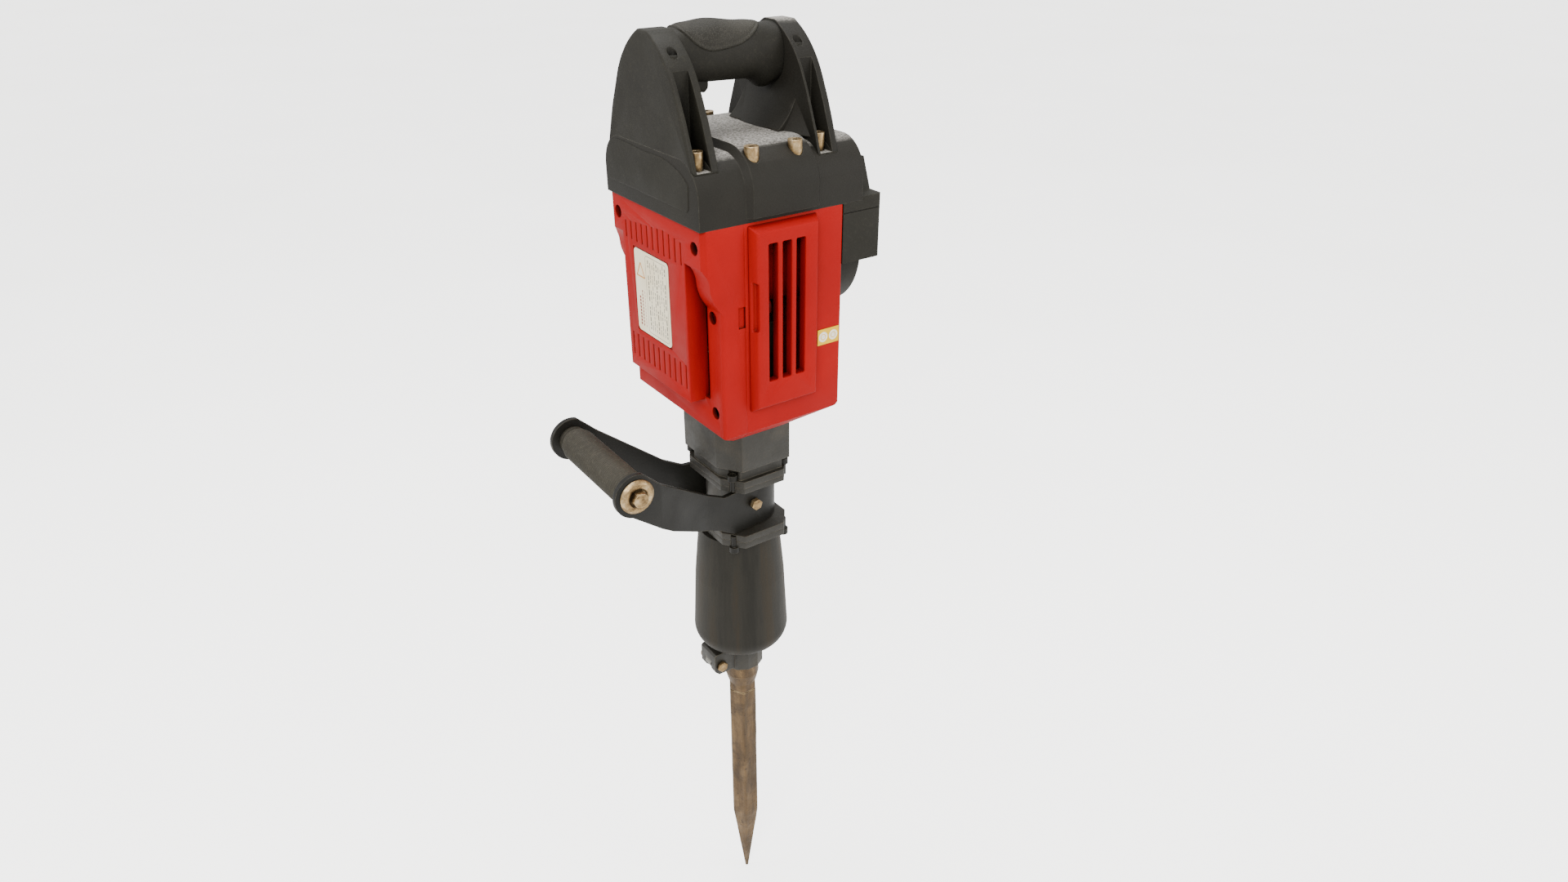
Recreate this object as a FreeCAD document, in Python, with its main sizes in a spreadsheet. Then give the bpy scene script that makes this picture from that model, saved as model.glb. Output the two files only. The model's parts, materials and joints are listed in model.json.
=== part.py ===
"""A 30 mm class electric demolition hammer, as an assembly of separate pieces.

Frame: +Z points up the impact axis, away from the work. The origin is on that axis at the mouth of
the tool holder. -X is the gear side, where the side handle points at rest; +X is the motor side.
-Y is the front, the face with the vent grille. All lengths are in millimetres.
"""

import FreeCAD
import Part
import Sketcher
import math
import os

DIMENSIONS = {
    # chisel and its seat
    "chisel_tip": -334.0, "chisel_taper": -230.0, "chisel_flats": 28.6, "tip_flats": 3.0,
    "collar_radius": 18.5, "collar_top": -2.0, "collar_low": -16.0, "collar_cone": -30.0,
    "shank_top": 107.0, "notch_plane": 12.5, "notch_top": 50.0, "socket_flats": 28.8,
    # retainer
    "ring_height": 26.0, "ring_radius": 22.5, "seat_radius": 19.0, "lug_reach": 43.0,
    "lug_half": 14.0, "lug_low": 3.0, "lug_top": 30.0, "pin_x": 35.0, "pin_height": 14.0,
    "pin_radius": 5.0, "cam_reach": 22.0, "cam_hub": 8.5, "cam_half": 5.0, "pin_head_flats": 10.5,
    # tool holder, front cover and bell
    "holder_hex_low": 27.0, "holder_hex_top": 37.0, "holder_flats": 39.0, "holder_radius": 27.0,
    "holder_top": 112.0, "barrel_radius": 33.0, "barrel_low": 42.0, "bell_low": 33.0,
    "bell_wide_height": 56.0, "bell_wide": 50.0, "bell_mid_height": 121.0, "bell_mid": 46.7,
    "bell_top": 178.0, "bell_narrow": 41.5, "bell_mouth": 25.0, "bell_wall": 4.5,
    # flanges and neck column
    "flange_low": 180.0, "flange_low_split": 187.0, "flange_low_top": 194.0, "flange_high": 243.0,
    "flange_high_split": 249.0, "flange_high_top": 256.0, "flange_x": 38.0, "flange_y": 48.5,
    "flange_x_run": 23.0, "flange_y_run": 29.0, "column_radius": 32.0, "barrel_bore": 28.5,
    "flange_bolt_x": 29.5, "flange_bolt_y": 37.5, "flange_bolt_radius": 3.0, "flange_bolt_head": 5.0,
    # striking mechanism
    "cylinder_radius": 28.45, "bore_radius": 24.0, "slider_radius": 23.95, "cylinder_low": 166.0,
    "cylinder_top": 318.0, "damper_top": 171.5, "striker_radius": 14.95, "striker_nose": 13.4,
    "striker_low": 107.3, "striker_step": 116.0, "striker_top": 163.0, "guide_bore": 15.0,
    "guide_low": 112.1, "ram_low": 172.0, "ram_top": 218.0, "piston_low": 242.0, "piston_top": 274.0,
    "piston_crown": 7.0, "piston_wall": 4.0, "piston_pin_height": 260.0, "piston_pin_radius": 5.0,
    "ring_section": 1.4, "rod_length": 90.0, "rod_half": 5.5, "rod_big": 13.5, "rod_small": 9.5,
    "rod_width": 12.0, "crank_throw": 20.0, "crank_height": 370.0, "crank_disc": 29.0,
    "crank_pin_radius": 7.5, "disc_start": -22.0, "disc_end": -9.0, "pin_gap": 0.6,
    # gear train and motor
    "fine_module": 1.5, "coarse_module": 1.75, "fine_pinion_teeth": 12.0, "fine_gear_teeth": 52.0,
    "idler_pinion_teeth": 13.0, "crank_gear_teeth": 41.0, "idler_y": 3.448, "idler_height": 417.124,
    "gear_one_left": -70.0, "gear_two_left": -58.0, "bearing_wall": 9.5, "rear_bearing_x": 88.0,
    "fan_start": -22.0, "commutator_start": 64.0, "commutator_end": 82.0,
    "motor_height": 465.0, "shaft_radius": 8.0,
    "motor_shaft": 6.0, "idler_shaft": 8.0, "core_radius": 25.0, "core_start": 8.0, "core_end": 52.0,
    "stator_radius": 44.0, "air_gap": 0.6, "tube_wall": 4.0, "fan_radius": 40.0,
    "commutator_radius": 15.0,
    # crankcase and gear plate
    "case_x": 42.0, "case_y": 52.0, "case_x_run": 29.0, "case_y_run": 27.0, "case_shoulder": 278.0,
    "case_low_top": 325.0,
    "case_top": 410.0, "case_inner_x": 26.0, "case_inner_y": 36.5, "case_wall": 5.0,
    "plate_back": -26.0, "plate_front": -37.8, "plate_half": 54.0, "plate_low": 329.0,
    "plate_high": 500.0,
    # red housing and gear-side cover
    "body_front": 79.0, "body_left": -38.0, "body_right": 64.5, "body_low": 319.0, "seam": 519.0,
    "body_wall": 4.0, "body_front_low": 328.0, "body_right_low": 331.0, "cover_outer": -78.0,
    "column_face": -62.5, "band_low": 486.0, "band_foot": 447.0, "panel_low": 357.0,
    "panel_near": -49.0, "panel_far": 59.0, "cover_foot": -47.6,
    "channel_floor": -50.0, "cover_screw_y": 65.5, "band_screw_height": 502.3,
    "column_screw_high": 439.0, "column_screw_low": 349.0, "screw_well": 5.75, "screw_head": 4.3,
    "rib_count": 11.0, "label_y": 40.0, "label_width": 60.0, "label_low": 398.5, "label_height": 78.0,
    # grille
    "grille_half": 31.0, "grille_base": 35.0, "grille_low": 351.5, "grille_top": 517.0,
    "grille_proud": 8.8, "slot_low": 376.5, "slot_top": 501.0, "slot_width": 9.2, "slot_pitch": 14.2,
    # cap, rear cover and handle
    "cap_left": -80.0, "cap_right": 85.0, "cap_top": 572.0, "cap_round": 30.0, "crown_left": -36.0,
    "crown_right": 39.0, "crown_top": 577.5, "crown_front": 83.5, "crown_round": 34.5,
    "crown_low": 523.0, "crown_bevel": 5.0, "rear_end": 107.0, "rear_low": 465.0, "rear_round": 61.0,
    "rear_wall": 4.5, "rear_step": 522.0, "rear_hump": 549.0, "rear_hump_half": 58.0,
    "upright_top": 662.0, "upright_top_half": 8.0, "upright_elbow_y": 47.0, "upright_elbow": 624.0,
    "upright_foot_y": 76.0, "upright_foot": 545.0, "arch_drop": 12.74,
    "arch_side_radius": 350.04, "arch_crest_radius": 85.0, "left_out": -80.0, "left_in": -56.0,
    "right_in": 42.4, "right_out": 64.0, "slot_back": 40.0, "slot_head": 635.0,
    "grip_left_height": 641.0, "grip_high_height": 642.0, "grip_mid_height": 639.5,
    "grip_right_height": 636.0, "trigger_low": 610.0, "trigger_top": 631.0, "trigger_left": -50.0,
    "trigger_right": -24.0, "trigger_half": 8.0, "crown_screw_top": 578.0, "crown_screw_y": 68.5,
    "crown_head": 6.1, "cap_screw_head": 15.0, "screw_shank": 3.0, "left_screw_x": -68.8,
    "right_screw_x": 50.6,
    "handle_screw_y": 58.5, "slot_floor": 563.0, "plug_y": 29.0, "plug_height": 646.0,
    "plug_radius": 4.0, "lock_height": 645.0, "lock_radius": 5.0, "cord_y": 35.0,
    "cord_height": 496.0, "cord_radius": 10.0,
    # side handle
    "handle_x": -146.0, "handle_height": 293.0, "strap_thick": 5.0, "strap_inner": 32.08,
    "kink_x": -61.0, "kink_y": 42.0, "bend_x": -122.0, "end_y": 66.5, "strap_low": 195.0,
    "strap_high": 242.0, "strap_end_radius": 21.0, "grip_radius": 16.5, "grip_end_radius": 14.0,
    "side_bolt": 5.0, "clamp_height": 222.0, "washer_radius": 16.5, "side_head_flats": 13.5,
}

document = FreeCAD.newDocument("demolition_hammer")
sheet = document.addObject("Spreadsheet::Sheet", "Dimensions")
for row, (alias, number) in enumerate(DIMENSIONS.items(), start=1):
    sheet.set(f"A{row}", alias)
    sheet.set(f"B{row}", str(number))
    sheet.setAlias(f"B{row}", alias)
document.recompute()

subparts = {}


class Size:
    """A number and the spreadsheet expression that gives it, kept together."""

    def __init__(self, value, text):
        self.value = float(value)
        self.text = text

    def join(self, other, sign, value):
        return Size(value, f"({self.text} {sign} {size(other).text})")

    def __add__(self, other):
        return self.join(other, "+", self.value + size(other).value)

    def __sub__(self, other):
        return self.join(other, "-", self.value - size(other).value)

    def __mul__(self, other):
        return self.join(other, "*", self.value * size(other).value)

    def __truediv__(self, other):
        return self.join(other, "/", self.value / size(other).value)

    def __radd__(self, other):
        return size(other) + self

    def __rsub__(self, other):
        return size(other) - self

    def __rmul__(self, other):
        return size(other) * self

    def __neg__(self):
        return size(-1.0) * self


class Sheet:
    """Reads a spreadsheet alias as a Size."""

    def __getattr__(self, alias):
        return Size(DIMENSIONS[alias], f"Dimensions.{alias}")


def size(thing):
    return thing if isinstance(thing, Size) else Size(thing, f"({float(thing)!r})")


d = Sheet()


# ---- sketches and features -------------------------------------------------------------------

def new_body(name):
    """Starts a sub-part. Its Label is the name of its file."""
    body = document.addObject("PartDesign::Body", name)
    body.Label = name
    subparts[name] = body
    return body


def place(body, x=0.0, y=0.0, z=0.0):
    for axis, distance in zip("xyz", (x, y, z)):
        body.setExpression(f"Placement.Base.{axis}", size(distance).text)


def add_sketch(body, plane, position=0.0):
    """A sketch on a plane through that position along the plane's own row axis."""
    sketch = body.newObject("Sketcher::SketchObject", f"{body.Name}_outline")
    support = next(f for f in body.Origin.OriginFeatures if f.Role == plane)
    sketch.AttachmentSupport = (support, "")
    sketch.MapMode = "FlatFace"
    offset = -size(position) if plane == "XZ_Plane" else size(position)
    sketch.setExpression("AttachmentOffset.Base.z", offset.text)
    return sketch


def bend(start, end, radius, turn):
    """The circle of an arc from start to end. turn is 1 for anticlockwise, -1 for clockwise."""
    (x0, y0), (x1, y1) = start, end
    half = math.hypot(x1 - x0, y1 - y0) / 2
    rise = math.sqrt(max(radius * radius - half * half, 0.0))
    side = turn * rise / (2 * half)
    centre = FreeCAD.Vector((x0 + x1) / 2 - side * (y1 - y0), (y0 + y1) / 2 + side * (x1 - x0), 0)
    return centre, Part.Circle(centre, FreeCAD.Vector(0, 0, 1), radius)


def outline(sketch, points):
    """A closed outline. A point is (u, v), or (u, v, radius, turn) where an arc leads to it."""
    corners = [tuple(size(value) for value in point[:2]) for point in points]
    first = sketch.GeometryCount
    rules, formulas, starts = [], [], []
    count = len(points)
    for i, point in enumerate(points):
        begin = tuple(value.value for value in corners[i - 1])
        finish = tuple(value.value for value in corners[i])
        index = first + i
        if len(point) == 4:
            radius = size(point[2])
            centre, circle = bend(begin, finish, radius.value, point[3])
            angles = [math.atan2(y - centre.y, x - centre.x) for x, y in (begin, finish)]
            low, high = angles if point[3] == 1 else angles[::-1]
            if high < low:
                high += 2 * math.pi
            sketch.addGeometry(Part.ArcOfCircle(circle, low, high), False)
            rules.append(Sketcher.Constraint("Radius", index, radius.value))
            formulas.append(radius.text)
            starts.append(1 if point[3] == 1 else 2)
        else:
            ends = [FreeCAD.Vector(x, y, 0) for x, y in (begin, finish)]
            sketch.addGeometry(Part.LineSegment(*ends), False)
            starts.append(1)
    for i, (u, v) in enumerate(corners):
        here = 3 - starts[i]
        for kind, value in (("DistanceX", u), ("DistanceY", v)):
            rules.append(Sketcher.Constraint(kind, -1, 1, first + i, here, value.value))
            formulas.append(value.text)
    known = sketch.ConstraintCount
    sketch.addConstraint(rules)
    joins = []
    for i in range(count):
        after = (i + 1) % count
        joins.append(
            Sketcher.Constraint("Coincident", first + i, 3 - starts[i], first + after, starts[after])
        )
    sketch.addConstraint(joins)
    for i, formula in enumerate(formulas):
        sketch.setExpression(f"Constraints[{known + i}]", formula)


def circle(sketch, u, v, radius):
    u, v, radius = size(u), size(v), size(radius)
    index = sketch.addGeometry(
        Part.Circle(FreeCAD.Vector(u.value, v.value, 0), FreeCAD.Vector(0, 0, 1), radius.value), False
    )
    known = sketch.ConstraintCount
    sketch.addConstraint([
        Sketcher.Constraint("Radius", index, radius.value),
        Sketcher.Constraint("DistanceX", -1, 1, index, 3, u.value),
        Sketcher.Constraint("DistanceY", -1, 1, index, 3, v.value),
    ])
    for i, formula in enumerate((radius.text, u.text, v.text)):
        sketch.setExpression(f"Constraints[{known + i}]", formula)


def draw(sketch, loops):
    """Each loop is a list of outline points, or a (u, v, radius) circle."""
    for loop in loops:
        if isinstance(loop, tuple):
            circle(sketch, *loop)
        else:
            outline(sketch, loop)


def box_loop(u0, v0, u1, v1):
    return [(u0, v0), (u1, v0), (u1, v1), (u0, v1)]


def octagon(x, y, x_run, y_run):
    """A rectangle with cut corners: faces at x and y, whose flats are x_run and y_run long."""
    return [(x, -y_run), (x, y_run), (x_run, y), (-x_run, y),
            (-x, y_run), (-x, -y_run), (-x_run, -y), (x_run, -y)]


def regular(flats, count=6, start=0.0):
    """A regular outline about the origin, given across its flats."""
    radius = size(flats) / (2 * math.cos(math.pi / count))
    angles = [start + 2 * math.pi * i / count for i in range(count)]
    return [(radius * math.cos(a), radius * math.sin(a)) for a in angles]


def extrude(body, plane, low, high, loops):
    """Adds material between two positions along the plane's row axis."""
    low, high = size(low), size(high)
    sketch = add_sketch(body, plane, high if plane == "XZ_Plane" else low)
    draw(sketch, loops)
    feature = body.newObject("PartDesign::Pad", f"{body.Name}_pad")
    feature.Profile = sketch
    feature.setExpression("Length", (high - low).text)
    document.recompute()
    return feature


def cut(body, plane, low, high, loops):
    """Removes material between two positions along the plane's row axis, and proves that it did."""
    low, high = size(low), size(high)
    before = body.Shape.Volume
    sketch = add_sketch(body, plane, low if plane == "XZ_Plane" else high)
    draw(sketch, loops)
    feature = body.newObject("PartDesign::Pocket", f"{body.Name}_pocket")
    feature.Profile = sketch
    feature.setExpression("Length", (high - low).text)
    document.recompute()
    if body.Shape.Volume > before - 0.01:
        raise RuntimeError(f"a pocket in {body.Name} removed nothing")
    return feature


def turn(body, points, axis="V_Axis", kind="Revolution"):
    """Turns an outline drawn on the XZ plane about the sketch's vertical or horizontal axis."""
    sketch = add_sketch(body, "XZ_Plane")
    outline(sketch, points)
    feature = body.newObject(f"PartDesign::{kind}", f"{body.Name}_{kind.lower()}")
    feature.Profile = sketch
    feature.ReferenceAxis = (sketch, [axis])
    feature.Angle = 360.0
    document.recompute()
    return feature


def dress(body, kind, amount, chosen):
    """Fillets or chamfers the edges that chosen(edge) picks from the body as it stands."""
    names = [f"Edge{i}" for i, edge in enumerate(body.Tip.Shape.Edges, start=1) if chosen(edge)]
    if not names:
        raise RuntimeError(f"{body.Name} has no edge to {kind}")
    feature = body.newObject(f"PartDesign::{kind}", f"{body.Name}_{kind.lower()}")
    feature.Base = (body.Tip if body.Tip != feature else feature.BaseFeature, names)
    feature.setExpression("Radius" if kind == "Fillet" else "Size", size(amount).text)
    document.recompute()
    return feature


def runs_along(edge, axis):
    """True where a straight edge is parallel to that axis."""
    if edge.Curve.TypeId != "Part::GeomLine":
        return False
    direction = edge.Curve.Direction
    return abs(abs(getattr(direction, axis)) - 1) < 1e-6


def middle(edge):
    return edge.valueAt((edge.FirstParameter + edge.LastParameter) / 2)


def group(name, shapes):
    """Identical fasteners, or pieces used more than once, as separate solids of one sub-part."""
    feature = document.addObject("Part::Feature", name)
    feature.Label = name
    feature.Shape = Part.makeCompound(shapes)
    feature.Placement = FreeCAD.Placement()
    subparts[name] = feature
    return feature


def moved(shape, x=0.0, y=0.0, z=0.0, axis=(0, 0, 1), angle=0.0):
    """A copy of a shape, turned about the origin and then moved."""
    spin = FreeCAD.Rotation(FreeCAD.Vector(*axis), angle)
    copy = shape.copy()
    copy.Placement = FreeCAD.Placement(FreeCAD.Vector(x, y, z), spin)
    return copy


def ring_solid(outer, inner, height):
    """A plain ring standing on the XY plane."""
    whole = Part.makeCylinder(outer, height)
    return whole.cut(Part.makeCylinder(inner, height)) if inner else whole


# ---- chisel and retainer ---------------------------------------------------------------------

def chisel():
    """Point chisel: hexagonal bar with a notch for the cam, a round collar and a drawn-out point."""
    body = new_body("chisel")
    extrude(body, "XY_Plane", d.chisel_taper, d.shank_top, [regular(d.chisel_flats)])
    point = body.newObject("PartDesign::AdditiveLoft", "chisel_point")
    wide = add_sketch(body, "XY_Plane", d.chisel_taper)
    outline(wide, regular(d.chisel_flats))
    fine = add_sketch(body, "XY_Plane", d.chisel_tip)
    outline(fine, regular(d.tip_flats))
    point.Profile = fine
    point.Sections = [wide]
    point.Ruled = True
    document.recompute()
    turn(body, [(0, d.collar_top), (0, d.collar_cone), (10, d.collar_cone),
                (15.2, d.collar_cone), (d.collar_radius, d.collar_low), (d.collar_radius, d.collar_top)])
    cut(body, "XZ_Plane", -20, 20,
        [box_loop(-20, 0.0, -d.notch_plane, d.notch_top)])
    dress(body, "Chamfer", 1.5,
          lambda e: abs(middle(e).z - DIMENSIONS["shank_top"]) < 0.01)


def retainer():
    """Ring and side lug around the tool holder, with the turning cam that locks the chisel."""
    body = new_body("retainer_ring")
    extrude(body, "XY_Plane", 0, d.ring_height, [regular(2 * d.ring_radius, 12, math.pi / 12)])
    extrude(body, "XZ_Plane", -d.lug_half, d.lug_half,
            [[(-18, d.lug_low), (-18, d.lug_top), (-d.lug_reach + 2, d.lug_top),
              (-d.lug_reach, d.lug_top - 2), (-d.lug_reach, d.lug_low + 5),
              (-d.lug_reach + 5, d.lug_low)]])
    cut(body, "XY_Plane", -1, d.lug_top + 1, [(0, 0, d.seat_radius + 0.05)])
    cut(body, "XZ_Plane", -d.cam_half - 0.5, d.cam_half + 0.5,
        [[(-d.pin_x - 9.2, d.pin_height), (-d.pin_x - 9.2, -20), (0, -20), (0, 22.2),
          (-24.5, 26), (-d.pin_x, 26), (-d.pin_x - 6, 24)]])
    cut(body, "XY_Plane", d.holder_hex_low - 0.2, d.lug_top + 1, [(0, 0, 23.0)])
    cut(body, "XZ_Plane", -d.lug_half, d.lug_half, [(-d.pin_x, d.pin_height, d.pin_radius + 0.04)])
    dress(body, "Chamfer", 1.0,
          lambda e: runs_along(e, "y") and middle(e).x < -42 and abs(middle(e).y) > 3)

    cam = new_body("retainer_cam")
    half = 6.5
    reach = math.sqrt(DIMENSIONS["cam_reach"] ** 2 - half ** 2)
    extrude(cam, "XZ_Plane", -d.cam_half, d.cam_half, [(-d.pin_x, d.pin_height, d.cam_hub)])
    extrude(cam, "XZ_Plane", -d.cam_half, d.cam_half,
            [[(-d.pin_x + reach, d.pin_height + half, d.cam_reach, 1),
              (-d.pin_x, d.pin_height + d.cam_hub - 0.5),
              (-d.pin_x, d.pin_height - d.cam_hub + 0.5),
              (-d.pin_x + reach, d.pin_height - half)]])
    cut(cam, "XZ_Plane", -d.cam_half, d.cam_half, [(-d.pin_x, d.pin_height, d.pin_radius)])

    pin = new_body("retainer_pin")
    extrude(pin, "XZ_Plane", -d.lug_half, d.lug_half + 2, [(0, 0, d.pin_radius)])
    extrude(pin, "XZ_Plane", -d.lug_half - 4.5, -d.lug_half, [regular(d.pin_head_flats, 6, 0.25)])
    extrude(pin, "XZ_Plane", d.lug_half, d.lug_half + 3, [(0, 0, 7.5)])
    place(pin, x=-d.pin_x, z=d.pin_height)
    dress(pin, "Chamfer", 0.8, lambda e: middle(e).y < -DIMENSIONS["lug_half"] - 4.4)


# ---- striking barrel -------------------------------------------------------------------------

def tool_holder():
    body = new_body("tool_holder")
    turn(body, [(0, 1), (0, d.holder_top), (d.holder_radius, d.holder_top), (d.holder_radius, 46),
                (d.seat_radius, 46), (d.seat_radius, 1)])
    extrude(body, "XY_Plane", d.holder_hex_low, d.holder_hex_top, [regular(d.holder_flats, 6, 0.2)])
    cut(body, "XY_Plane", 0, d.holder_top + 1, [regular(d.socket_flats)])
    cut(body, "XZ_Plane", -d.cam_half - 0.5, d.cam_half + 0.5, [box_loop(-24, -1, -10, 22.4)])


def front_cover():
    """Steel barrel cover: its flange meets the neck, and the rubber bell sits over it."""
    body = new_body("front_cover")
    r = d.barrel_radius
    turn(body, [(0, d.barrel_low), (0, d.flange_low_split), (r, d.flange_low_split), (r, 62),
                (r - 5, d.barrel_low)])
    extrude(body, "XY_Plane", d.flange_low, d.flange_low_split,
            [octagon(d.flange_x, d.flange_y, d.flange_x_run, d.flange_y_run)])
    turn(body, [(0, 0), (0, 200), (d.barrel_bore, 200), (d.barrel_bore, 165.0),
                (d.holder_radius + 0.02, 165.0), (d.holder_radius + 0.02, 45.9),
                (21.0, 45.9), (21.0, 0)], kind="Groove")
    flange_bolt_holes(body, d.flange_low, d.flange_low_split)


def flange_bolt_holes(body, low, high, radius=None):
    """Four holes through a flange, at the screws' own radius unless a wider one is given."""
    radius = radius or d.flange_bolt_radius + 0.1
    loops = [(d.flange_bolt_x * sx, d.flange_bolt_y * sy, radius) for sx in (-1, 1) for sy in (-1, 1)]
    cut(body, "XY_Plane", low, high, loops)


def bell():
    """Rubber cover over the barrel, wide near its foot and drawn in under it."""
    body = new_body("front_bell")
    wall = d.bell_wall
    turn(body, [
        (d.bell_mouth, d.bell_low), (d.bell_wide - 15, d.bell_low),
        (d.bell_wide, d.bell_wide_height, 22, 1), (d.bell_mid, d.bell_mid_height),
        (d.bell_narrow, d.bell_top), (d.barrel_radius + 0.05, d.bell_top),
        (d.barrel_radius + 0.05, d.bell_top - 24), (d.bell_mid - wall, d.bell_mid_height - 16),
        (d.bell_wide - wall, d.bell_wide_height + 6), (d.barrel_radius + 1, d.bell_low + 6),
        (d.barrel_radius - 4.2, d.bell_low + 6), (d.bell_mouth, d.bell_low + 6),
    ])


def neck():
    """Column between two flanges, which the side handle clamps around."""
    body = new_body("neck_column")
    flange = [octagon(d.flange_x, d.flange_y, d.flange_x_run, d.flange_y_run)]
    extrude(body, "XY_Plane", d.flange_low_split, d.flange_low_top, flange)
    extrude(body, "XY_Plane", d.flange_low_top, d.flange_high, [(0, 0, d.column_radius)])
    extrude(body, "XY_Plane", d.flange_high, d.flange_high_split, flange)
    cut(body, "XY_Plane", d.flange_low_split, d.flange_high_split, [(0, 0, d.barrel_bore)])
    flange_bolt_holes(body, d.flange_low_split, d.flange_low_top - 0.5)
    flange_bolt_holes(body, d.flange_high + 0.5, d.flange_high_split)


def flange_bolts():
    """Eight socket screws: four through each flange joint, heads on the outer sides."""
    screw = Part.makeCylinder(DIMENSIONS["flange_bolt_radius"], 12.0)
    head = Part.makeCylinder(DIMENSIONS["flange_bolt_head"], 6.0)
    head = head.cut(moved(hexagon_bar(5.0, 3.5), z=-0.01))
    low = screw.fuse(moved(head, z=-6.0))
    solids = []
    for sx in (-1, 1):
        for sy in (-1, 1):
            x = DIMENSIONS["flange_bolt_x"] * sx
            y = DIMENSIONS["flange_bolt_y"] * sy
            solids.append(moved(low, x, y, DIMENSIONS["flange_low"]))
            solids.append(moved(low, x, y, DIMENSIONS["flange_high_top"], (1, 0, 0), 180))
    group("flange_bolts", solids)


def hexagon_bar(flats, height):
    radius = flats / math.sqrt(3)
    corners = [FreeCAD.Vector(radius * math.cos(i * math.pi / 3), radius * math.sin(i * math.pi / 3), 0)
               for i in range(7)]
    return Part.Face(Part.makePolygon(corners)).extrude(FreeCAD.Vector(0, 0, height))


def tube(name, outer, inner, low, high):
    """A plain sleeve about the impact axis."""
    body = new_body(name)
    extrude(body, "XY_Plane", low, high, [(0, 0, outer), (0, 0, inner)])
    return body


def striking_parts():
    tube("striker_guide", d.holder_radius, d.guide_bore, d.guide_low, 164.9)
    tube("cylinder", d.cylinder_radius, d.bore_radius, d.cylinder_low, d.cylinder_top)
    tube("ram_damper", d.slider_radius, 16.0, d.cylinder_low + 0.4, d.damper_top)

    striker = new_body("striker")
    r = d.striker_radius
    turn(striker, [(0, d.striker_low), (d.striker_nose - 1.5, d.striker_low),
                   (d.striker_nose, d.striker_low + 1.5), (d.striker_nose, d.striker_step),
                   (r, d.striker_step + 2), (r, d.striker_top - 2), (r - 2, d.striker_top),
                   (0, d.striker_top)])

    ram = new_body("ram")
    r = d.slider_radius
    turn(ram, [(0, d.ram_low), (r - 3, d.ram_low), (r, d.ram_low + 3), (r, d.ram_top),
               (0, d.ram_top)])
    packing(ram, "ram_ring", d.ram_top - 12)

    piston = new_body("piston")
    turn(piston, [(0, d.piston_low), (r, d.piston_low), (r, d.piston_top),
                  (r - d.piston_wall, d.piston_top), (r - d.piston_wall, d.piston_low + d.piston_crown),
                  (0, d.piston_low + d.piston_crown)])
    boss = r - d.piston_wall
    extrude(piston, "YZ_Plane", -boss - 1, -d.rod_half - 1.5, [(0, d.piston_pin_height, 7.2)])
    extrude(piston, "YZ_Plane", d.rod_half + 1.5, boss + 1, [(0, d.piston_pin_height, 7.2)])
    cut(piston, "YZ_Plane", -30, 30, [(0, d.piston_pin_height, d.piston_pin_radius)])
    packing(piston, "piston_ring", d.piston_low + 5)
    pin = new_body("piston_pin")
    extrude(pin, "YZ_Plane", -boss - 2, boss + 2,
            [(0, 0, d.piston_pin_radius), (0, 0, d.piston_pin_radius - 2.5)])
    place(pin, z=d.piston_pin_height)


def packing(slider, name, height):
    """Cuts a square groove around a slider and fits an O-ring section in it."""
    r = d.slider_radius
    half = d.ring_section
    turn(slider, [(r + 1, height - half), (r + 1, height + half), (r - 2 * half, height + half),
                  (r - 2 * half, height - half)], kind="Groove")
    ring = new_body(name)
    sketch = add_sketch(ring, "XZ_Plane")
    circle(sketch, r - half + 0.03, 0, half - 0.02)
    feature = ring.newObject("PartDesign::Revolution", f"{name}_turn")
    feature.Profile = sketch
    feature.ReferenceAxis = (sketch, ["V_Axis"])
    feature.Angle = 360.0
    place(ring, z=height)
    document.recompute()


# ---- crankcase and crank ---------------------------------------------------------------------

def crankcase():
    """Cast case above the neck: it holds the top of the cylinder and the crank."""
    body = new_body("crankcase")
    low, top = d.flange_high_split, d.flange_high_top
    extrude(body, "XY_Plane", low, top,
            [octagon(d.flange_x, d.flange_y, d.flange_x_run, d.flange_y_run)])
    extrude(body, "XY_Plane", top, d.case_shoulder,
            [octagon(d.case_inner_x + 10, d.case_inner_y + 7, 24, 22)])
    extrude(body, "XY_Plane", d.case_shoulder - 8, d.case_low_top,
            [octagon(d.case_x, d.case_y, d.case_y_run, d.case_x_run)])
    inner_front = d.plate_back
    extrude(body, "XY_Plane", d.case_low_top - 2, d.case_top,
            [box_loop(inner_front, -d.case_inner_y - d.case_wall, d.case_inner_x,
                      d.case_inner_y + d.case_wall)])
    cut(body, "XY_Plane", low, d.case_low_top, [(0, 0, d.cylinder_radius + 0.05)])
    cut(body, "XY_Plane", d.case_low_top - 8, d.case_top - 5,
        [box_loop(-28.4, -d.case_inner_y, d.case_inner_x - 6, d.case_inner_y)])
    flange_bolt_holes(body, low, top)
    flange_bolt_holes(body, top, top + 12, d.flange_bolt_head + 0.4)
    extrude(body, "YZ_Plane", d.case_inner_x - 8, d.case_inner_x, [(0, d.crank_height, 12)])


def gear_plate():
    """Upright plate between the crankcase and the gears, bored for the three shafts."""
    body = new_body("gear_plate")
    extrude(body, "YZ_Plane", d.plate_front, d.plate_back,
            [[(-d.plate_half, d.plate_low + 20), (-d.plate_half + 20, d.plate_low),
              (d.plate_half - 20, d.plate_low), (d.plate_half, d.plate_low + 20),
              (d.plate_half, d.plate_high - 14), (d.plate_half - 14, d.plate_high),
              (-d.plate_half + 14, d.plate_high), (-d.plate_half, d.plate_high - 14)]])
    for y, z, radius in shaft_places():
        cut(body, "YZ_Plane", d.plate_front, d.plate_back, [(y, z, radius + d.bearing_wall)])


def shaft_places():
    """Where the crank, idler and armature shafts pass through the plate: y, z and radius."""
    return ((0, d.crank_height, d.shaft_radius), (d.idler_y, d.idler_height, d.idler_shaft),
            (0, d.motor_height, d.motor_shaft))


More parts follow.
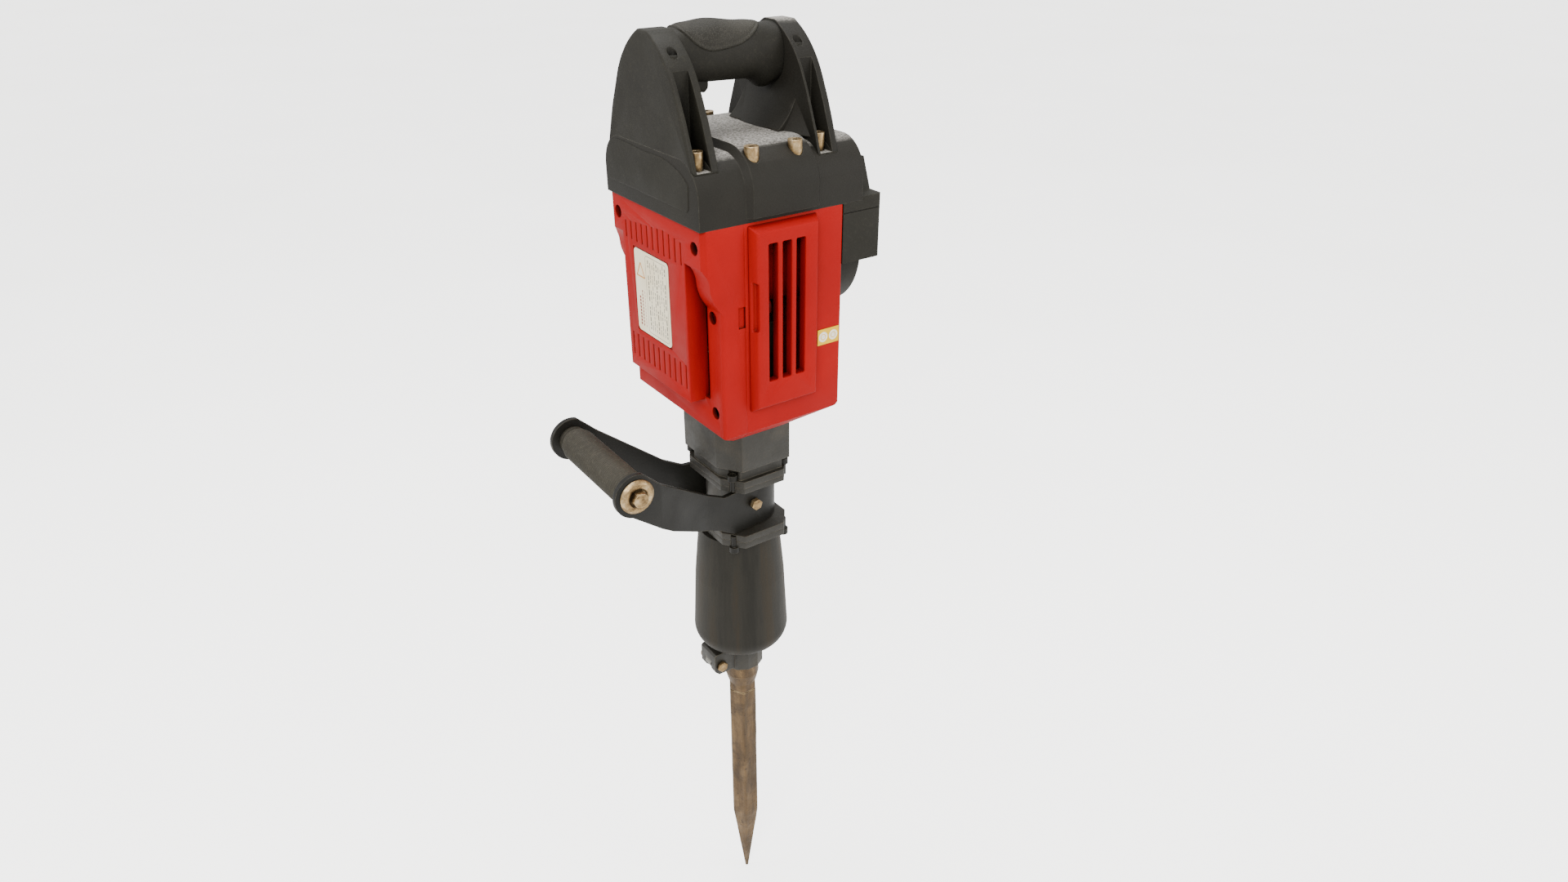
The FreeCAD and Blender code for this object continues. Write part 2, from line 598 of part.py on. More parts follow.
def ball_bearing(bore, wide):
    """A closed ball bearing lying on the XY plane: an outer and an inner race with a shield."""
    wall = DIMENSIONS["bearing_wall"]
    ring = ring_solid(bore + wall - 0.02, bore + 0.02, wide)
    for level in (0, wide - 0.6):
        ring = ring.cut(moved(ring_solid(bore + 6.4, bore + 3.0, 0.6), z=level))
    return ring


def bearings():
    """Two pairs of identical bearings: crank and idler in the plate, and the armature's two."""
    front, back = DIMENSIONS["plate_front"], DIMENSIONS["plate_back"]
    places = [(y, z, size(radius).value) for y, z, radius in shaft_places()]
    pair = ball_bearing(places[0][2], back - front)
    group("plate_bearings", [moved(pair, front, size(y).value, size(z).value, (0, 1, 0), 90)
                             for y, z, radius in places[:2]])
    pair = ball_bearing(places[2][2], 10.0)
    height = DIMENSIONS["motor_height"]
    group("motor_bearings", [moved(pair, x, 0, height, (0, 1, 0), 90)
                             for x in (front + 0.5, DIMENSIONS["rear_bearing_x"])])


def crankshaft():
    """Crank disc with its counterweight side, its pin and the journal out to the big gear."""
    body = new_body("crankshaft")
    extrude(body, "YZ_Plane", d.disc_start, d.disc_end,
            [(0, 0, d.crank_disc)])
    extrude(body, "YZ_Plane", d.gear_two_left - 1.0, d.disc_start, [(0, 0, d.shaft_radius)])
    extrude(body, "YZ_Plane", d.disc_end, -d.rod_half - d.pin_gap, [(0, -d.crank_throw, d.crank_pin_radius)])
    cut(body, "YZ_Plane", d.disc_start, d.disc_end, [(14, -15, 4.5), (-14, -15, 4.5)])
    place(body, z=d.crank_height)


def connecting_rod():
    body = new_body("connecting_rod")
    half = d.rod_half
    length = d.rod_length
    extrude(body, "YZ_Plane", -half, half, [(0, 0, d.rod_small), (0, 0, d.piston_pin_radius + 0.03)])
    extrude(body, "YZ_Plane", -half, half, [(0, length, d.rod_big), (0, length, d.crank_pin_radius + 0.1)])
    extrude(body, "YZ_Plane", -half + 1, half - 1,
            [[(-d.rod_width / 2, d.rod_small - 2), (d.rod_width / 2, d.rod_small - 2),
              (d.rod_width / 2 + 1, length - d.rod_big + 2), (-d.rod_width / 2 - 1, length - d.rod_big + 2)]])
    place(body, z=d.piston_pin_height)


# ---- gears -----------------------------------------------------------------------------------

def tooth_flank(module, teeth, clear):
    """Points of one involute flank: radius and half-angle of the tooth at that radius."""
    pitch = module * teeth / 2
    base = pitch * math.cos(math.radians(20))
    tip = pitch + 0.75 * module
    root = pitch - 1.0 * module
    half = math.pi / (2 * teeth) - clear / (2 * pitch)
    pressure = math.radians(20)
    involute = math.tan(pressure) - pressure
    points = []
    for i in range(5):
        radius = max(root, base) + (tip - max(root, base)) * i / 4
        local = math.acos(min(1.0, base / radius))
        points.append((radius, half + involute - (math.tan(local) - local)))
    return root, points


def spur_gear(name, module, teeth, x, wide, bore=0.0, web=None, start=0.0, shaft=None):
    """A spur gear about the X axis. web is the depth and hub radius of a dished middle; shaft is
    the start, end and radius of a shaft in one piece with it."""
    root, flank = tooth_flank(module.value, teeth, 0.1)
    step = 2 * math.pi / teeth
    corners = []
    for i in range(teeth):
        angle = i * step + math.radians(start)
        low = flank[0][1]
        turns = [(root, -low), *((r, -a) for r, a in flank), *((r, a) for r, a in flank[::-1]), (root, low)]
        corners += [FreeCAD.Vector(0, r * math.sin(angle + a), r * math.cos(angle + a)) for r, a in turns]
    face = Part.Face(Part.makePolygon([*corners, corners[0]]))
    gear = face.extrude(FreeCAD.Vector(wide, 0, 0))
    along = FreeCAD.Vector(1, 0, 0)
    if bore:
        gear = gear.cut(Part.makeCylinder(bore, wide, FreeCAD.Vector(0, 0, 0), along))
    if web:
        depth, hub = web
        rim = root - 2.5
        for position in (-0.01, wide - depth):
            ring = Part.makeCylinder(rim, depth + 0.01, FreeCAD.Vector(position, 0, 0), along)
            ring = ring.cut(Part.makeCylinder(hub, depth + 0.01, FreeCAD.Vector(position, 0, 0), along))
            gear = gear.cut(ring)
    if shaft:
        low, high, radius = shaft
        gear = gear.fuse(Part.makeCylinder(radius, high - low, FreeCAD.Vector(low, 0, 0), along))
    feature = document.addObject("Part::Feature", name)
    feature.Label = name
    feature.Shape = gear
    feature.Placement = FreeCAD.Placement(FreeCAD.Vector(x, 0, 0), FreeCAD.Rotation())
    subparts[name] = feature
    return feature


def gears():
    """Two reductions from the armature to the crank."""
    fine, coarse = d.fine_module, d.coarse_module
    big, small = int(DIMENSIONS["fine_gear_teeth"]), int(DIMENSIONS["fine_pinion_teeth"])
    crank_teeth, idler_teeth = int(DIMENSIONS["crank_gear_teeth"]), int(DIMENSIONS["idler_pinion_teeth"])
    aside, level = DIMENSIONS["idler_y"], DIMENSIONS["idler_height"]
    lean = math.degrees(math.atan2(aside, DIMENSIONS["motor_height"] - level))
    drop = math.degrees(math.atan2(aside, level - DIMENSIONS["crank_height"]))
    # Turn each gear so that a tooth of one faces a gap of the next along their line of centres.
    crank_gear = spur_gear("crank_gear", coarse, crank_teeth, DIMENSIONS["gear_two_left"], 14.0,
                           DIMENSIONS["shaft_radius"], web=(4.0, 16.0), start=drop)
    crank_gear.setExpression("Placement.Base.z", "Dimensions.crank_height")
    second, first = DIMENSIONS["gear_two_left"], DIMENSIONS["gear_one_left"]
    back = DIMENSIONS["plate_back"]
    pinion = spur_gear("idler_pinion", coarse, idler_teeth, second, 14.0,
                       start=180 + drop + 180 / idler_teeth,
                       shaft=(first - 1 - second, back - second, DIMENSIONS["idler_shaft"]))
    wheel = spur_gear("idler_gear", fine, big, DIMENSIONS["gear_one_left"], 8.0,
                      DIMENSIONS["idler_shaft"], web=(2.0, 13.0), start=-lean)
    for gear in (pinion, wheel):
        gear.setExpression("Placement.Base.z", "Dimensions.idler_height")
        gear.setExpression("Placement.Base.y", "Dimensions.idler_y")
    drive = spur_gear("armature_shaft", fine, small, first - 1, 10.0, start=180 - lean + 180 / small,
                      shaft=(-1.0, DIMENSIONS["rear_bearing_x"] + 11 - first, DIMENSIONS["motor_shaft"]))
    drive.setExpression("Placement.Base.z", "Dimensions.motor_height")


# ---- motor -----------------------------------------------------------------------------------

def motor():
    height = d.motor_height
    core = new_body("armature_core")
    slots = [(19.5 * math.cos(i * math.pi / 6), 19.5 * math.sin(i * math.pi / 6), 2.2) for i in range(12)]
    extrude(core, "YZ_Plane", d.core_start, d.core_end,
            [(0, 0, d.core_radius), (0, 0, d.motor_shaft), *slots])
    winding = new_body("armature_winding")
    turn(winding, [(d.core_start - 8, d.motor_shaft), (d.core_start - 8, 17), (d.core_start - 5, 21),
                   (d.core_start, 21), (d.core_start, d.motor_shaft)], "H_Axis")
    turn(winding, [(d.core_end, d.motor_shaft), (d.core_end, 21), (d.core_end + 5, 21),
                   (d.core_end + 8, 17), (d.core_end + 8, d.motor_shaft)], "H_Axis")
    commutator = new_body("commutator")
    bars = [(d.commutator_radius * math.cos((i + 0.5) * math.pi / 12),
             d.commutator_radius * math.sin((i + 0.5) * math.pi / 12), 0.5) for i in range(24)]
    extrude(commutator, "YZ_Plane", d.commutator_start, d.commutator_end,
            [(0, 0, d.commutator_radius), (0, 0, d.motor_shaft)])
    cut(commutator, "YZ_Plane", d.commutator_start, d.commutator_end, bars)
    fan = new_body("motor_fan")
    extrude(fan, "YZ_Plane", d.fan_start, d.fan_start + 3, [(0, 0, d.fan_radius), (0, 0, d.motor_shaft)])
    extrude(fan, "YZ_Plane", d.fan_start, d.fan_start + 12, [(0, 0, 12), (0, 0, d.motor_shaft)])
    for i in range(12):
        angle = i * math.pi / 6
        inner, outer = DIMENSIONS["fan_radius"] - 21, DIMENSIONS["fan_radius"] - 1
        ends = [(inner, angle), (outer, angle + 0.28), (outer, angle + 0.34), (inner, angle + 0.1)]
        extrude(fan, "YZ_Plane", d.fan_start + 2, d.fan_start + 12,
                [[(r * math.cos(a), r * math.sin(a)) for r, a in ends]])
    stator = new_body("stator")
    bore = d.core_radius + d.air_gap
    extrude(stator, "YZ_Plane", d.core_start, d.core_end, [(0, 0, d.stator_radius), (0, 0, bore)])
    cut(stator, "YZ_Plane", d.core_start, d.core_end,
        [[(-15, 27.5), (15, 27.5), (22, 36.5), (-22, 36.5)],
         [(-22, -36.5), (22, -36.5), (15, -27.5), (-15, -27.5)]])
    core_length = DIMENSIONS["core_end"] - DIMENSIONS["core_start"]
    coil = Part.makeBox(core_length + 10, 26, 7.5)
    coil = coil.cut(moved(Part.makeBox(core_length - 6, 10, 9), 8, 8, -0.5))
    coils = [moved(coil, DIMENSIONS["core_start"] - 5, -13, DIMENSIONS["motor_height"] + z)
             for z in (28.2, -35.7)]
    for body in (core, winding, commutator, fan, stator):
        place(body, z=height)
    group("field_coils", coils)
    brush = Part.makeBox(10, 12, 7)
    middle_x = (DIMENSIONS["commutator_start"] + DIMENSIONS["commutator_end"]) / 2
    near = DIMENSIONS["commutator_radius"] + 0.3
    height_value = DIMENSIONS["motor_height"]
    group("carbon_brushes", [moved(brush, middle_x - 5, near, height_value - 3.5),
                             moved(brush, middle_x - 5, -near - 12, height_value - 3.5)])


# ---- red housing -----------------------------------------------------------------------------

def both(value):
    """The same size on the two sides of the middle plane."""
    return (size(value), -size(value))


def slope_corners(body, x0, x1):
    """Slopes the lower front and rear edges of a housing shell."""
    low, out = d.body_low - 0.1, d.body_front + 0.1
    run = d.body_front_low - d.body_low
    for sign in (-1, 1):
        edge = [((out - run) * sign, low), (out * sign, low), (out * sign, low + run)]
        cut(body, "YZ_Plane", x0, x1, [edge if sign == 1 else edge[::-1]])


def case_opening(body):
    cut(body, "XY_Plane", d.body_low - 1, d.case_low_top + 5,
        [octagon(d.case_x + 0.5, d.case_y + 0.5, d.case_y_run, d.case_x_run)])


def main_housing():
    """Box around the motor and crankcase, open to the gear cover, the cap and the rear cover."""
    body = new_body("main_housing")
    y, wall = d.body_front, d.body_wall
    extrude(body, "XZ_Plane", -y, y,
            [[(d.body_left, d.body_low), (6, d.body_low), (59, d.body_low + 8),
              (d.body_right, d.body_right_low), (d.body_right, d.seam), (d.body_left, d.seam)]])
    slope_corners(body, d.body_left, d.body_right)
    dress(body, "Fillet", 2.5, lambda e: runs_along(e, "z") and middle(e).x > 60)
    inner = d.body_right - wall
    cut(body, "XZ_Plane", -y + wall, y - wall,
        [[(d.body_left, d.body_front_low + 4.5), (6, d.body_front_low + 4.5), (inner, d.body_front_low + 13),
          (inner, d.seam), (d.body_left, d.seam)]])
    cut(body, "XZ_Plane", -y + 14, y - 14,
        [[(d.body_left, d.body_low + wall), (6, d.body_low + wall), (inner, d.body_low + wall + 8.3),
          (inner, d.seam - 20), (d.body_left, d.seam - 20)]])
    case_opening(body)
    cut(body, "YZ_Plane", inner - 1, d.body_right, [(0, d.motor_height, d.stator_radius)])
    motor_ring = [(0, d.motor_height, d.stator_radius + d.tube_wall),
                  (0, d.motor_height, d.stator_radius + 0.02)]
    extrude(body, "YZ_Plane", d.core_start - 9, inner + 1, motor_ring)
    for sign in (-1, 1):
        low, high = sorted((y.value * sign, (y - wall).value * sign))
        cut(body, "XZ_Plane", low, high, [box_loop(-24, d.slot_low - 4, 24, d.slot_top + 4)])
    for level in (d.column_screw_high, d.band_screw_height, d.column_screw_low):
        for side in both(d.cover_screw_y):
            extrude(body, "YZ_Plane", d.body_left, d.body_left + 30, [(side, level, 8.5)])
            cut(body, "YZ_Plane", d.body_left, d.body_left + 25, [(side, level, 3.0)])


def gear_cover():
    """Shell over the gears: two corner columns, a top band and a raised panel between channels."""
    body = new_body("gear_cover")
    y, wall, split = d.body_front, d.body_wall, d.body_left
    extrude(body, "XZ_Plane", -y, y,
            [[(split, d.body_low), (d.cover_foot, d.body_low), (d.column_face, d.body_low + 9),
              (d.column_face, d.band_foot), (d.cover_outer + 6, d.band_foot + 22, 42, -1),
              (d.cover_outer, d.band_low, 30, 1), (d.cover_outer, d.seam), (split, d.seam)]])
    extrude(body, "YZ_Plane", d.cover_outer, split,
            [[(d.panel_near, d.panel_low), (d.panel_far, d.panel_low), (d.panel_far, d.band_low + 4),
              (d.panel_near, d.band_low + 4)]])
    slope_corners(body, d.cover_outer - 1, split)
    dress(body, "Chamfer", 4,
          lambda e: runs_along(e, "z") and abs(middle(e).y) > 78 and middle(e).x < -76)
    dress(body, "Fillet", 3,
          lambda e: runs_along(e, "z") and abs(middle(e).y) > 78 and -63 < middle(e).x < -60)
    cut(body, "XZ_Plane", -y + wall, y - wall,
        [[(split, d.body_front_low + 4.5), (d.column_face + wall, d.body_front_low + 4.5),
          (d.column_face + wall, d.band_foot + 6), (d.cover_outer + wall + 2, d.band_low + 3),
          (d.cover_outer + wall + 2, d.seam), (split, d.seam)]])
    cut(body, "XZ_Plane", -y + 14, y - 14,
        [[(split, d.body_low + wall), (d.cover_foot, d.body_low + wall),
          (d.column_face + wall, d.body_low + wall + 7), (d.column_face + wall, d.band_foot),
          (split, d.band_foot)]])
    cut(body, "YZ_Plane", d.cover_outer + wall, split,
        [box_loop(d.panel_near + wall, d.panel_low + wall, d.panel_far - wall, d.band_low + 8)])
    channel_low, channel_top = d.panel_low + 2.5, d.band_low - 1.4
    near, far = d.panel_near - 8, d.panel_near
    extrude(body, "YZ_Plane", d.channel_floor, split,
            [box_loop(near - 3, channel_low - 3, far + 3, channel_top + 3)])
    cut(body, "YZ_Plane", d.cover_outer - 1, d.channel_floor,
        [box_loop(near, channel_low, far, channel_top)])
    case_opening(body)
    ribs_and_label_seat(body)
    cover_screw_wells(body)
    cut(body, "XZ_Plane", -y, -y + 1.6,
        [box_loop(split - 7, 429, split, 448)])


def ribs_and_label_seat(body):
    """Shallow upright grooves across the panel, and the flat recess that the label sits in."""
    outer = d.cover_outer
    cut(body, "YZ_Plane", outer, outer + 0.8,
        [box_loop(d.label_y - d.label_width - 1, d.label_low - 1, d.label_y + 1,
                  d.label_low + d.label_height + 1)])
    count = int(DIMENSIONS["rib_count"])
    grooves = []
    for i in range(count):
        middle_y = -44 + 96 * i / (count - 1)
        top = 505 - 0.10 * abs(i - 3) * 10
        grooves.append(box_loop(middle_y - 1.1, d.panel_low + 12, middle_y + 1.1, d.label_low - 7))
        grooves.append(box_loop(middle_y - 1.1, d.label_low + d.label_height + 6, middle_y + 1.1, top))
    cut(body, "YZ_Plane", outer, outer + 0.6, grooves)


def cover_screw_places():
    """Six screws: y, z and the depth of the well's floor."""
    return [(side, level, floor) for side in both(d.cover_screw_y) for level, floor in
            ((d.band_screw_height, d.cover_outer + 14), (d.column_screw_high, d.column_face + 12),
             (d.column_screw_low, d.column_face + 12))]


def cover_screw_wells(body):
    for side, level, floor in cover_screw_places():
        extrude(body, "YZ_Plane", floor - 3, d.body_left, [(side, level, 8.5)])
        cut(body, "YZ_Plane", d.cover_outer - 1, floor, [(side, level, d.screw_well)])
        cut(body, "YZ_Plane", floor, d.body_left, [(side, level, 3.0)])


def cover_screws():
    solids = []
    for side, level, floor in cover_screw_places():
        x, y, z = floor.value, side.value, level.value
        reach = DIMENSIONS["body_left"] + 20 - x
        head = Part.makeCylinder(DIMENSIONS["screw_head"], 4.0).cut(moved(hexagon_bar(3.4, 2.5), z=1.6))
        screw = head.fuse(moved(Part.makeCylinder(2.9, reach), z=-reach))
        solids.append(moved(screw, x, y, z, (0, 1, 0), -90))
    group("cover_screws", solids)


def rating_label():
    body = new_body("rating_label")
    y, z = d.label_y, d.label_low
    extrude(body, "YZ_Plane", d.cover_outer, d.cover_outer + 0.8,
            [box_loop(y - d.label_width, z, y, z + d.label_height)])
    dress(body, "Fillet", 4, lambda e: runs_along(e, "x"))


def sticker():
    body = new_body("lock_sticker")
    extrude(body, "XZ_Plane", -d.body_front - 0.3, -d.body_front, [box_loop(38.4, 393, 62.0, 408)])


def grilles():
    """Raised intake grilles on the front and rear faces, each with three slots and inner louvres."""
    for name, sign in (("front_grille", -1), ("rear_grille", 1)):
        body = new_body(name)
        near, far = d.body_front * sign, (d.body_front + d.grille_proud) * sign
        loft = body.newObject("PartDesign::AdditiveLoft", f"{name}_block")
        base = add_sketch(body, "XZ_Plane", near)
        outline(base, box_loop(-d.grille_base, d.grille_low - 4, d.grille_base, d.grille_top))
        face = add_sketch(body, "XZ_Plane", far)
        outline(face, box_loop(-d.grille_half, d.grille_low + 1.5, d.grille_half, d.grille_top - 5))
        loft.Profile = base
        loft.Sections = [face]
        loft.Ruled = True
        document.recompute()
        low, high = sorted((near.value, far.value))
        for i in (-1, 0, 1):
            middle_x = i * d.slot_pitch - 0.8
            half = d.slot_width / 2
            cut(body, "XZ_Plane", low, high,
                [box_loop(middle_x - half, d.slot_low, middle_x + half, d.slot_top)])
        if sign == -1:
            cut(body, "XZ_Plane", far - 1, near + -3,
                [[(-d.grille_base - 1, 424), (-d.grille_half + 1.5, 426), (-d.grille_half + 1.5, 468),
                  (-d.grille_base - 1, 470)]])


# ---- cap, uprights and grip ------------------------------------------------------------------

def rounded_block(half, low, top, radius):
    """Cross-section of the cap: flat bottom and sides, rounded shoulders and a flat top."""
    shoulder = size(top) - radius
    return [(-size(half), low), (half, low), (half, shoulder), (size(half) - radius, top, radius, 1),
            (radius - size(half), top), (-size(half), shoulder, radius, 1)]


def top_cap():
    """Cap over the housing with a raised, bevelled crown across its middle."""
    body = new_body("top_cap")
    extrude(body, "YZ_Plane", d.cap_left, d.cap_right,
            [rounded_block(d.body_front, d.seam, d.cap_top, d.cap_round)])
    proud = rounded_block(d.crown_front, d.crown_low, d.crown_top, d.crown_round)
    level = rounded_block(d.body_front - 0.2, d.crown_low, d.cap_top - 0.2, d.cap_round - 0.2)
    for start, end, near, far in (
        (d.crown_left, d.crown_left + d.crown_bevel, level, proud),
        (d.crown_left + d.crown_bevel, d.crown_right - d.crown_bevel, proud, proud),
        (d.crown_right - d.crown_bevel, d.crown_right, proud, level),
    ):
        loft = body.newObject("PartDesign::AdditiveLoft", "crown_part")
        first = add_sketch(body, "YZ_Plane", start)
        outline(first, near)
        second = add_sketch(body, "YZ_Plane", end)
        outline(second, far)
        loft.Profile = first
        loft.Sections = [second]
        loft.Ruled = True
        document.recompute()
    cut(body, "YZ_Plane", d.cap_left + 6, d.cap_right - 5,
        [[(-74, d.seam), (74, d.seam), (74, 531), (56, 540), (46, 566), (-46, 566), (-56, 540), (-74, 531)]])
    for near, far in upright_slots():
        for side in (-1, 1):
            y_low, y_high = sorted((d.slot_back.value * side, 90 * side))
            cut(body, "XZ_Plane", y_low, y_high, [box_loop(near, d.slot_floor, far, d.crown_top)])
    for x, y, seat in (*crown_screw_places(), *handle_screw_places()):
        cut(body, "XY_Plane", d.seam + 20, d.crown_top + 5, [(x, y, d.screw_shank)])
    for x, y, seat in crown_screw_places():
        cut(body, "XY_Plane", seat, d.crown_top + 5, [(x, y, d.crown_head + 0.3)])


def upright_slots():
    """Where each upright's two slots start and end along X."""
    return ((d.left_out + 4.3, d.left_in - 6), (d.right_in + 2.0, d.right_out - 7.2))


def crown_screw_places():
    return [(x, y, d.crown_screw_top - d.cap_screw_head) for x in (-23, 20) for y in both(d.crown_screw_y)]


def handle_screw_places():
    return [(x, y, d.slot_floor) for x in (d.left_screw_x, d.right_screw_x) for y in both(d.handle_screw_y)]


def cap_screws():
    """Eight identical upright socket screws: four in the crown and four in the upright slots."""
    radius, height = DIMENSIONS["crown_head"], DIMENSIONS["cap_screw_head"]
    shank = Part.makeCylinder(DIMENSIONS["screw_shank"] - 0.05, 18.0)
    head = Part.makeCylinder(radius, height).cut(moved(hexagon_bar(radius * 0.9, 4.0), z=height - 3.5))
    screw = head.fuse(moved(shank, z=-18.0))
    group("cap_screws", [moved(screw, size(x).value, size(y).value, size(seat).value)
                         for x, y, seat in (*crown_screw_places(), *handle_screw_places())])


def upright(name, outer, inner, slot, screw_x):
    """One handle upright: an arched plate standing on the cap, slotted for its two screws."""
    body = new_body(name)
    low, high = sorted((outer, inner), key=lambda side: side.value)
    foot, top, drop = d.upright_foot, d.upright_top, d.arch_drop
    side, crest = d.arch_side_radius, d.arch_crest_radius
    extrude(body, "YZ_Plane", low, high, [[
        (-d.body_front, foot - drop), (d.body_front, foot - drop), (d.upright_foot_y, foot),
        (d.upright_elbow_y, d.upright_elbow, side, 1), (d.upright_top_half, top, crest, 1),
        (-d.upright_top_half, top), (-d.upright_elbow_y, d.upright_elbow, crest, 1),
        (-d.upright_foot_y, foot, side, 1)]])
    shoulder, flat = d.cap_top - d.cap_round, d.body_front - d.cap_round
    below = [(-95, d.seam - 9), (95, d.seam - 9), (95, shoulder), (d.body_front, shoulder),
             (flat, d.cap_top, d.cap_round, 1), (-flat, d.cap_top),
             (-d.body_front, shoulder, d.cap_round, 1), (-95, shoulder)]
    cut(body, "YZ_Plane", low - 1, high + 1, [below])
    dress(body, "Fillet", 3.0, lambda e: abs(middle(e).x - outer.value) < 0.1 and middle(e).z > 573)
    for side in (-1, 1):
        y_low, y_high = sorted((d.slot_back.value * side, 90 * side))
        cut(body, "XZ_Plane", y_low, y_high, [box_loop(slot[0], d.slot_floor, slot[1], d.slot_head)])
    for y in both(d.plug_y):
        cut(body, "XY_Plane", d.plug_height - 10, d.upright_top, [(screw_x, y, d.plug_radius)])
    return body


def uprights():
    left_slot, right_slot = upright_slots()
    upright("left_upright", d.left_out, d.left_in, left_slot, d.left_screw_x)
    body = upright("right_upright", d.right_out, d.right_in, right_slot, d.right_screw_x)
    extrude(body, "XZ_Plane", -38, 38,
            [[(d.right_in + 1.4, d.crown_top + 0.5), (d.right_in + 1.4, 607),
              (24, d.crown_top + 0.5, 60, -1)]])


def plugs():
    """Round plugs over the four hidden screws that hold the grip, on the sloping faces."""
    solids = []
    for x in (DIMENSIONS["left_screw_x"], DIMENSIONS["right_screw_x"]):
        for side in (-1, 1):
            plug = Part.makeCylinder(DIMENSIONS["plug_radius"] - 0.02, 9.0)
            y = DIMENSIONS["plug_y"] * side
            plug = moved(plug, x, y, DIMENSIONS["plug_height"] - 9.5)
            solids.append(plug)
    group("screw_plugs", solids)


def grip_stations():
    """Centre height and radius of the grip along X; straight cones join them."""
    return [(d.left_in, d.grip_left_height, size(20.5)), (size(-22), d.grip_high_height, size(24)),
            (size(10), d.grip_mid_height, size(23)), (d.right_in, d.grip_right_height, size(22.5))]


def station_at(x):
    stations = grip_stations()
    for (x0, z0, r0), (x1, z1, r1) in zip(stations, stations[1:]):
        if x0.value <= x <= x1.value:
            share = (size(x) - x0) / (x1 - x0)
            return size(x), z0 + (z1 - z0) * share, r0 + (r1 - r0) * share
    raise ValueError("outside the grip")


def ruled_loft(body, sections):
    """Joins outlines on YZ planes with straight rulings. A section is (x, loop)."""
    loft = body.newObject("PartDesign::AdditiveLoft", f"{body.Name}_loft")
    sketches = []
    for x, loop in sections:
        sketch = add_sketch(body, "YZ_Plane", x)
        draw(sketch, [loop])
        sketches.append(sketch)
    loft.Profile = sketches[0]
    loft.Sections = sketches[1:]
    loft.Ruled = True
    document.recompute()


def grip():
    body = new_body("top_grip")
    ruled_loft(body, [(x, (0, z, r)) for x, z, r in grip_stations()])
    extrude(body, "XZ_Plane", -9, 9, [[(20, 622), (20, 612), (28, 606), (36, 608), (42.4, 612), (42.4, 622)]])
    cut(body, "XZ_Plane", -d.trigger_half - 0.05, d.trigger_half + 0.05,
        [box_loop(d.trigger_left - 0.05, 600, d.trigger_right + 0.05, 638)])
    cut(body, "XZ_Plane", -10, 10, [box_loop(-49, 637.9, -25, 653)])
    cut(body, "XZ_Plane", 9, 40, [(-37, d.lock_height, d.lock_radius + 0.05)])
    pad = new_body("grip_pad")
    pad_half_angle = math.radians(62)
    sections = []
    for x in (-44, -22, 10, 24):
        x, z, r = station_at(x)
        wide, rise = math.sin(pad_half_angle), math.cos(pad_half_angle)
        inner, outer = r + 0.02, r + 1.4
        sections.append((x, [(outer * wide, z + outer * rise), (-outer * wide, z + outer * rise, outer, 1),
                             (-inner * wide, z + inner * rise), (inner * wide, z + inner * rise, inner, -1)]))
    ruled_loft(pad, sections)

    switch = new_body("switch")
    extrude(switch, "XZ_Plane", -9.9, 9.9, [box_loop(-48.9, 638.2, -25.1, 652.9)])
    cut(switch, "XZ_Plane", 3, 9.9, [box_loop(-43, 641, -31, 650)])
    trigger = new_body("trigger")
    half = d.trigger_half
    extrude(trigger, "XZ_Plane", -half, half,
            [[(d.trigger_left, d.trigger_top), (d.trigger_left, d.trigger_low + 2),
              (d.trigger_left + 4, d.trigger_low), (-36, d.trigger_low + 1.5),
              (d.trigger_right - 3, d.trigger_low), (d.trigger_right, d.trigger_low + 3),
              (d.trigger_right, d.trigger_top)]])
    dress(trigger, "Fillet", 2.5, lambda e: abs(abs(middle(e).y) - 8) < 0.01 and middle(e).z < 612.5)
    button = new_body("lock_button")
    extrude(button, "XZ_Plane", 13, 27, [(-37, d.lock_height, d.lock_radius)])
    dress(button, "Fillet", 1.2, lambda e: abs(middle(e).y - 27) < 0.01)


# ---- rear cover ------------------------------------------------------------------------------

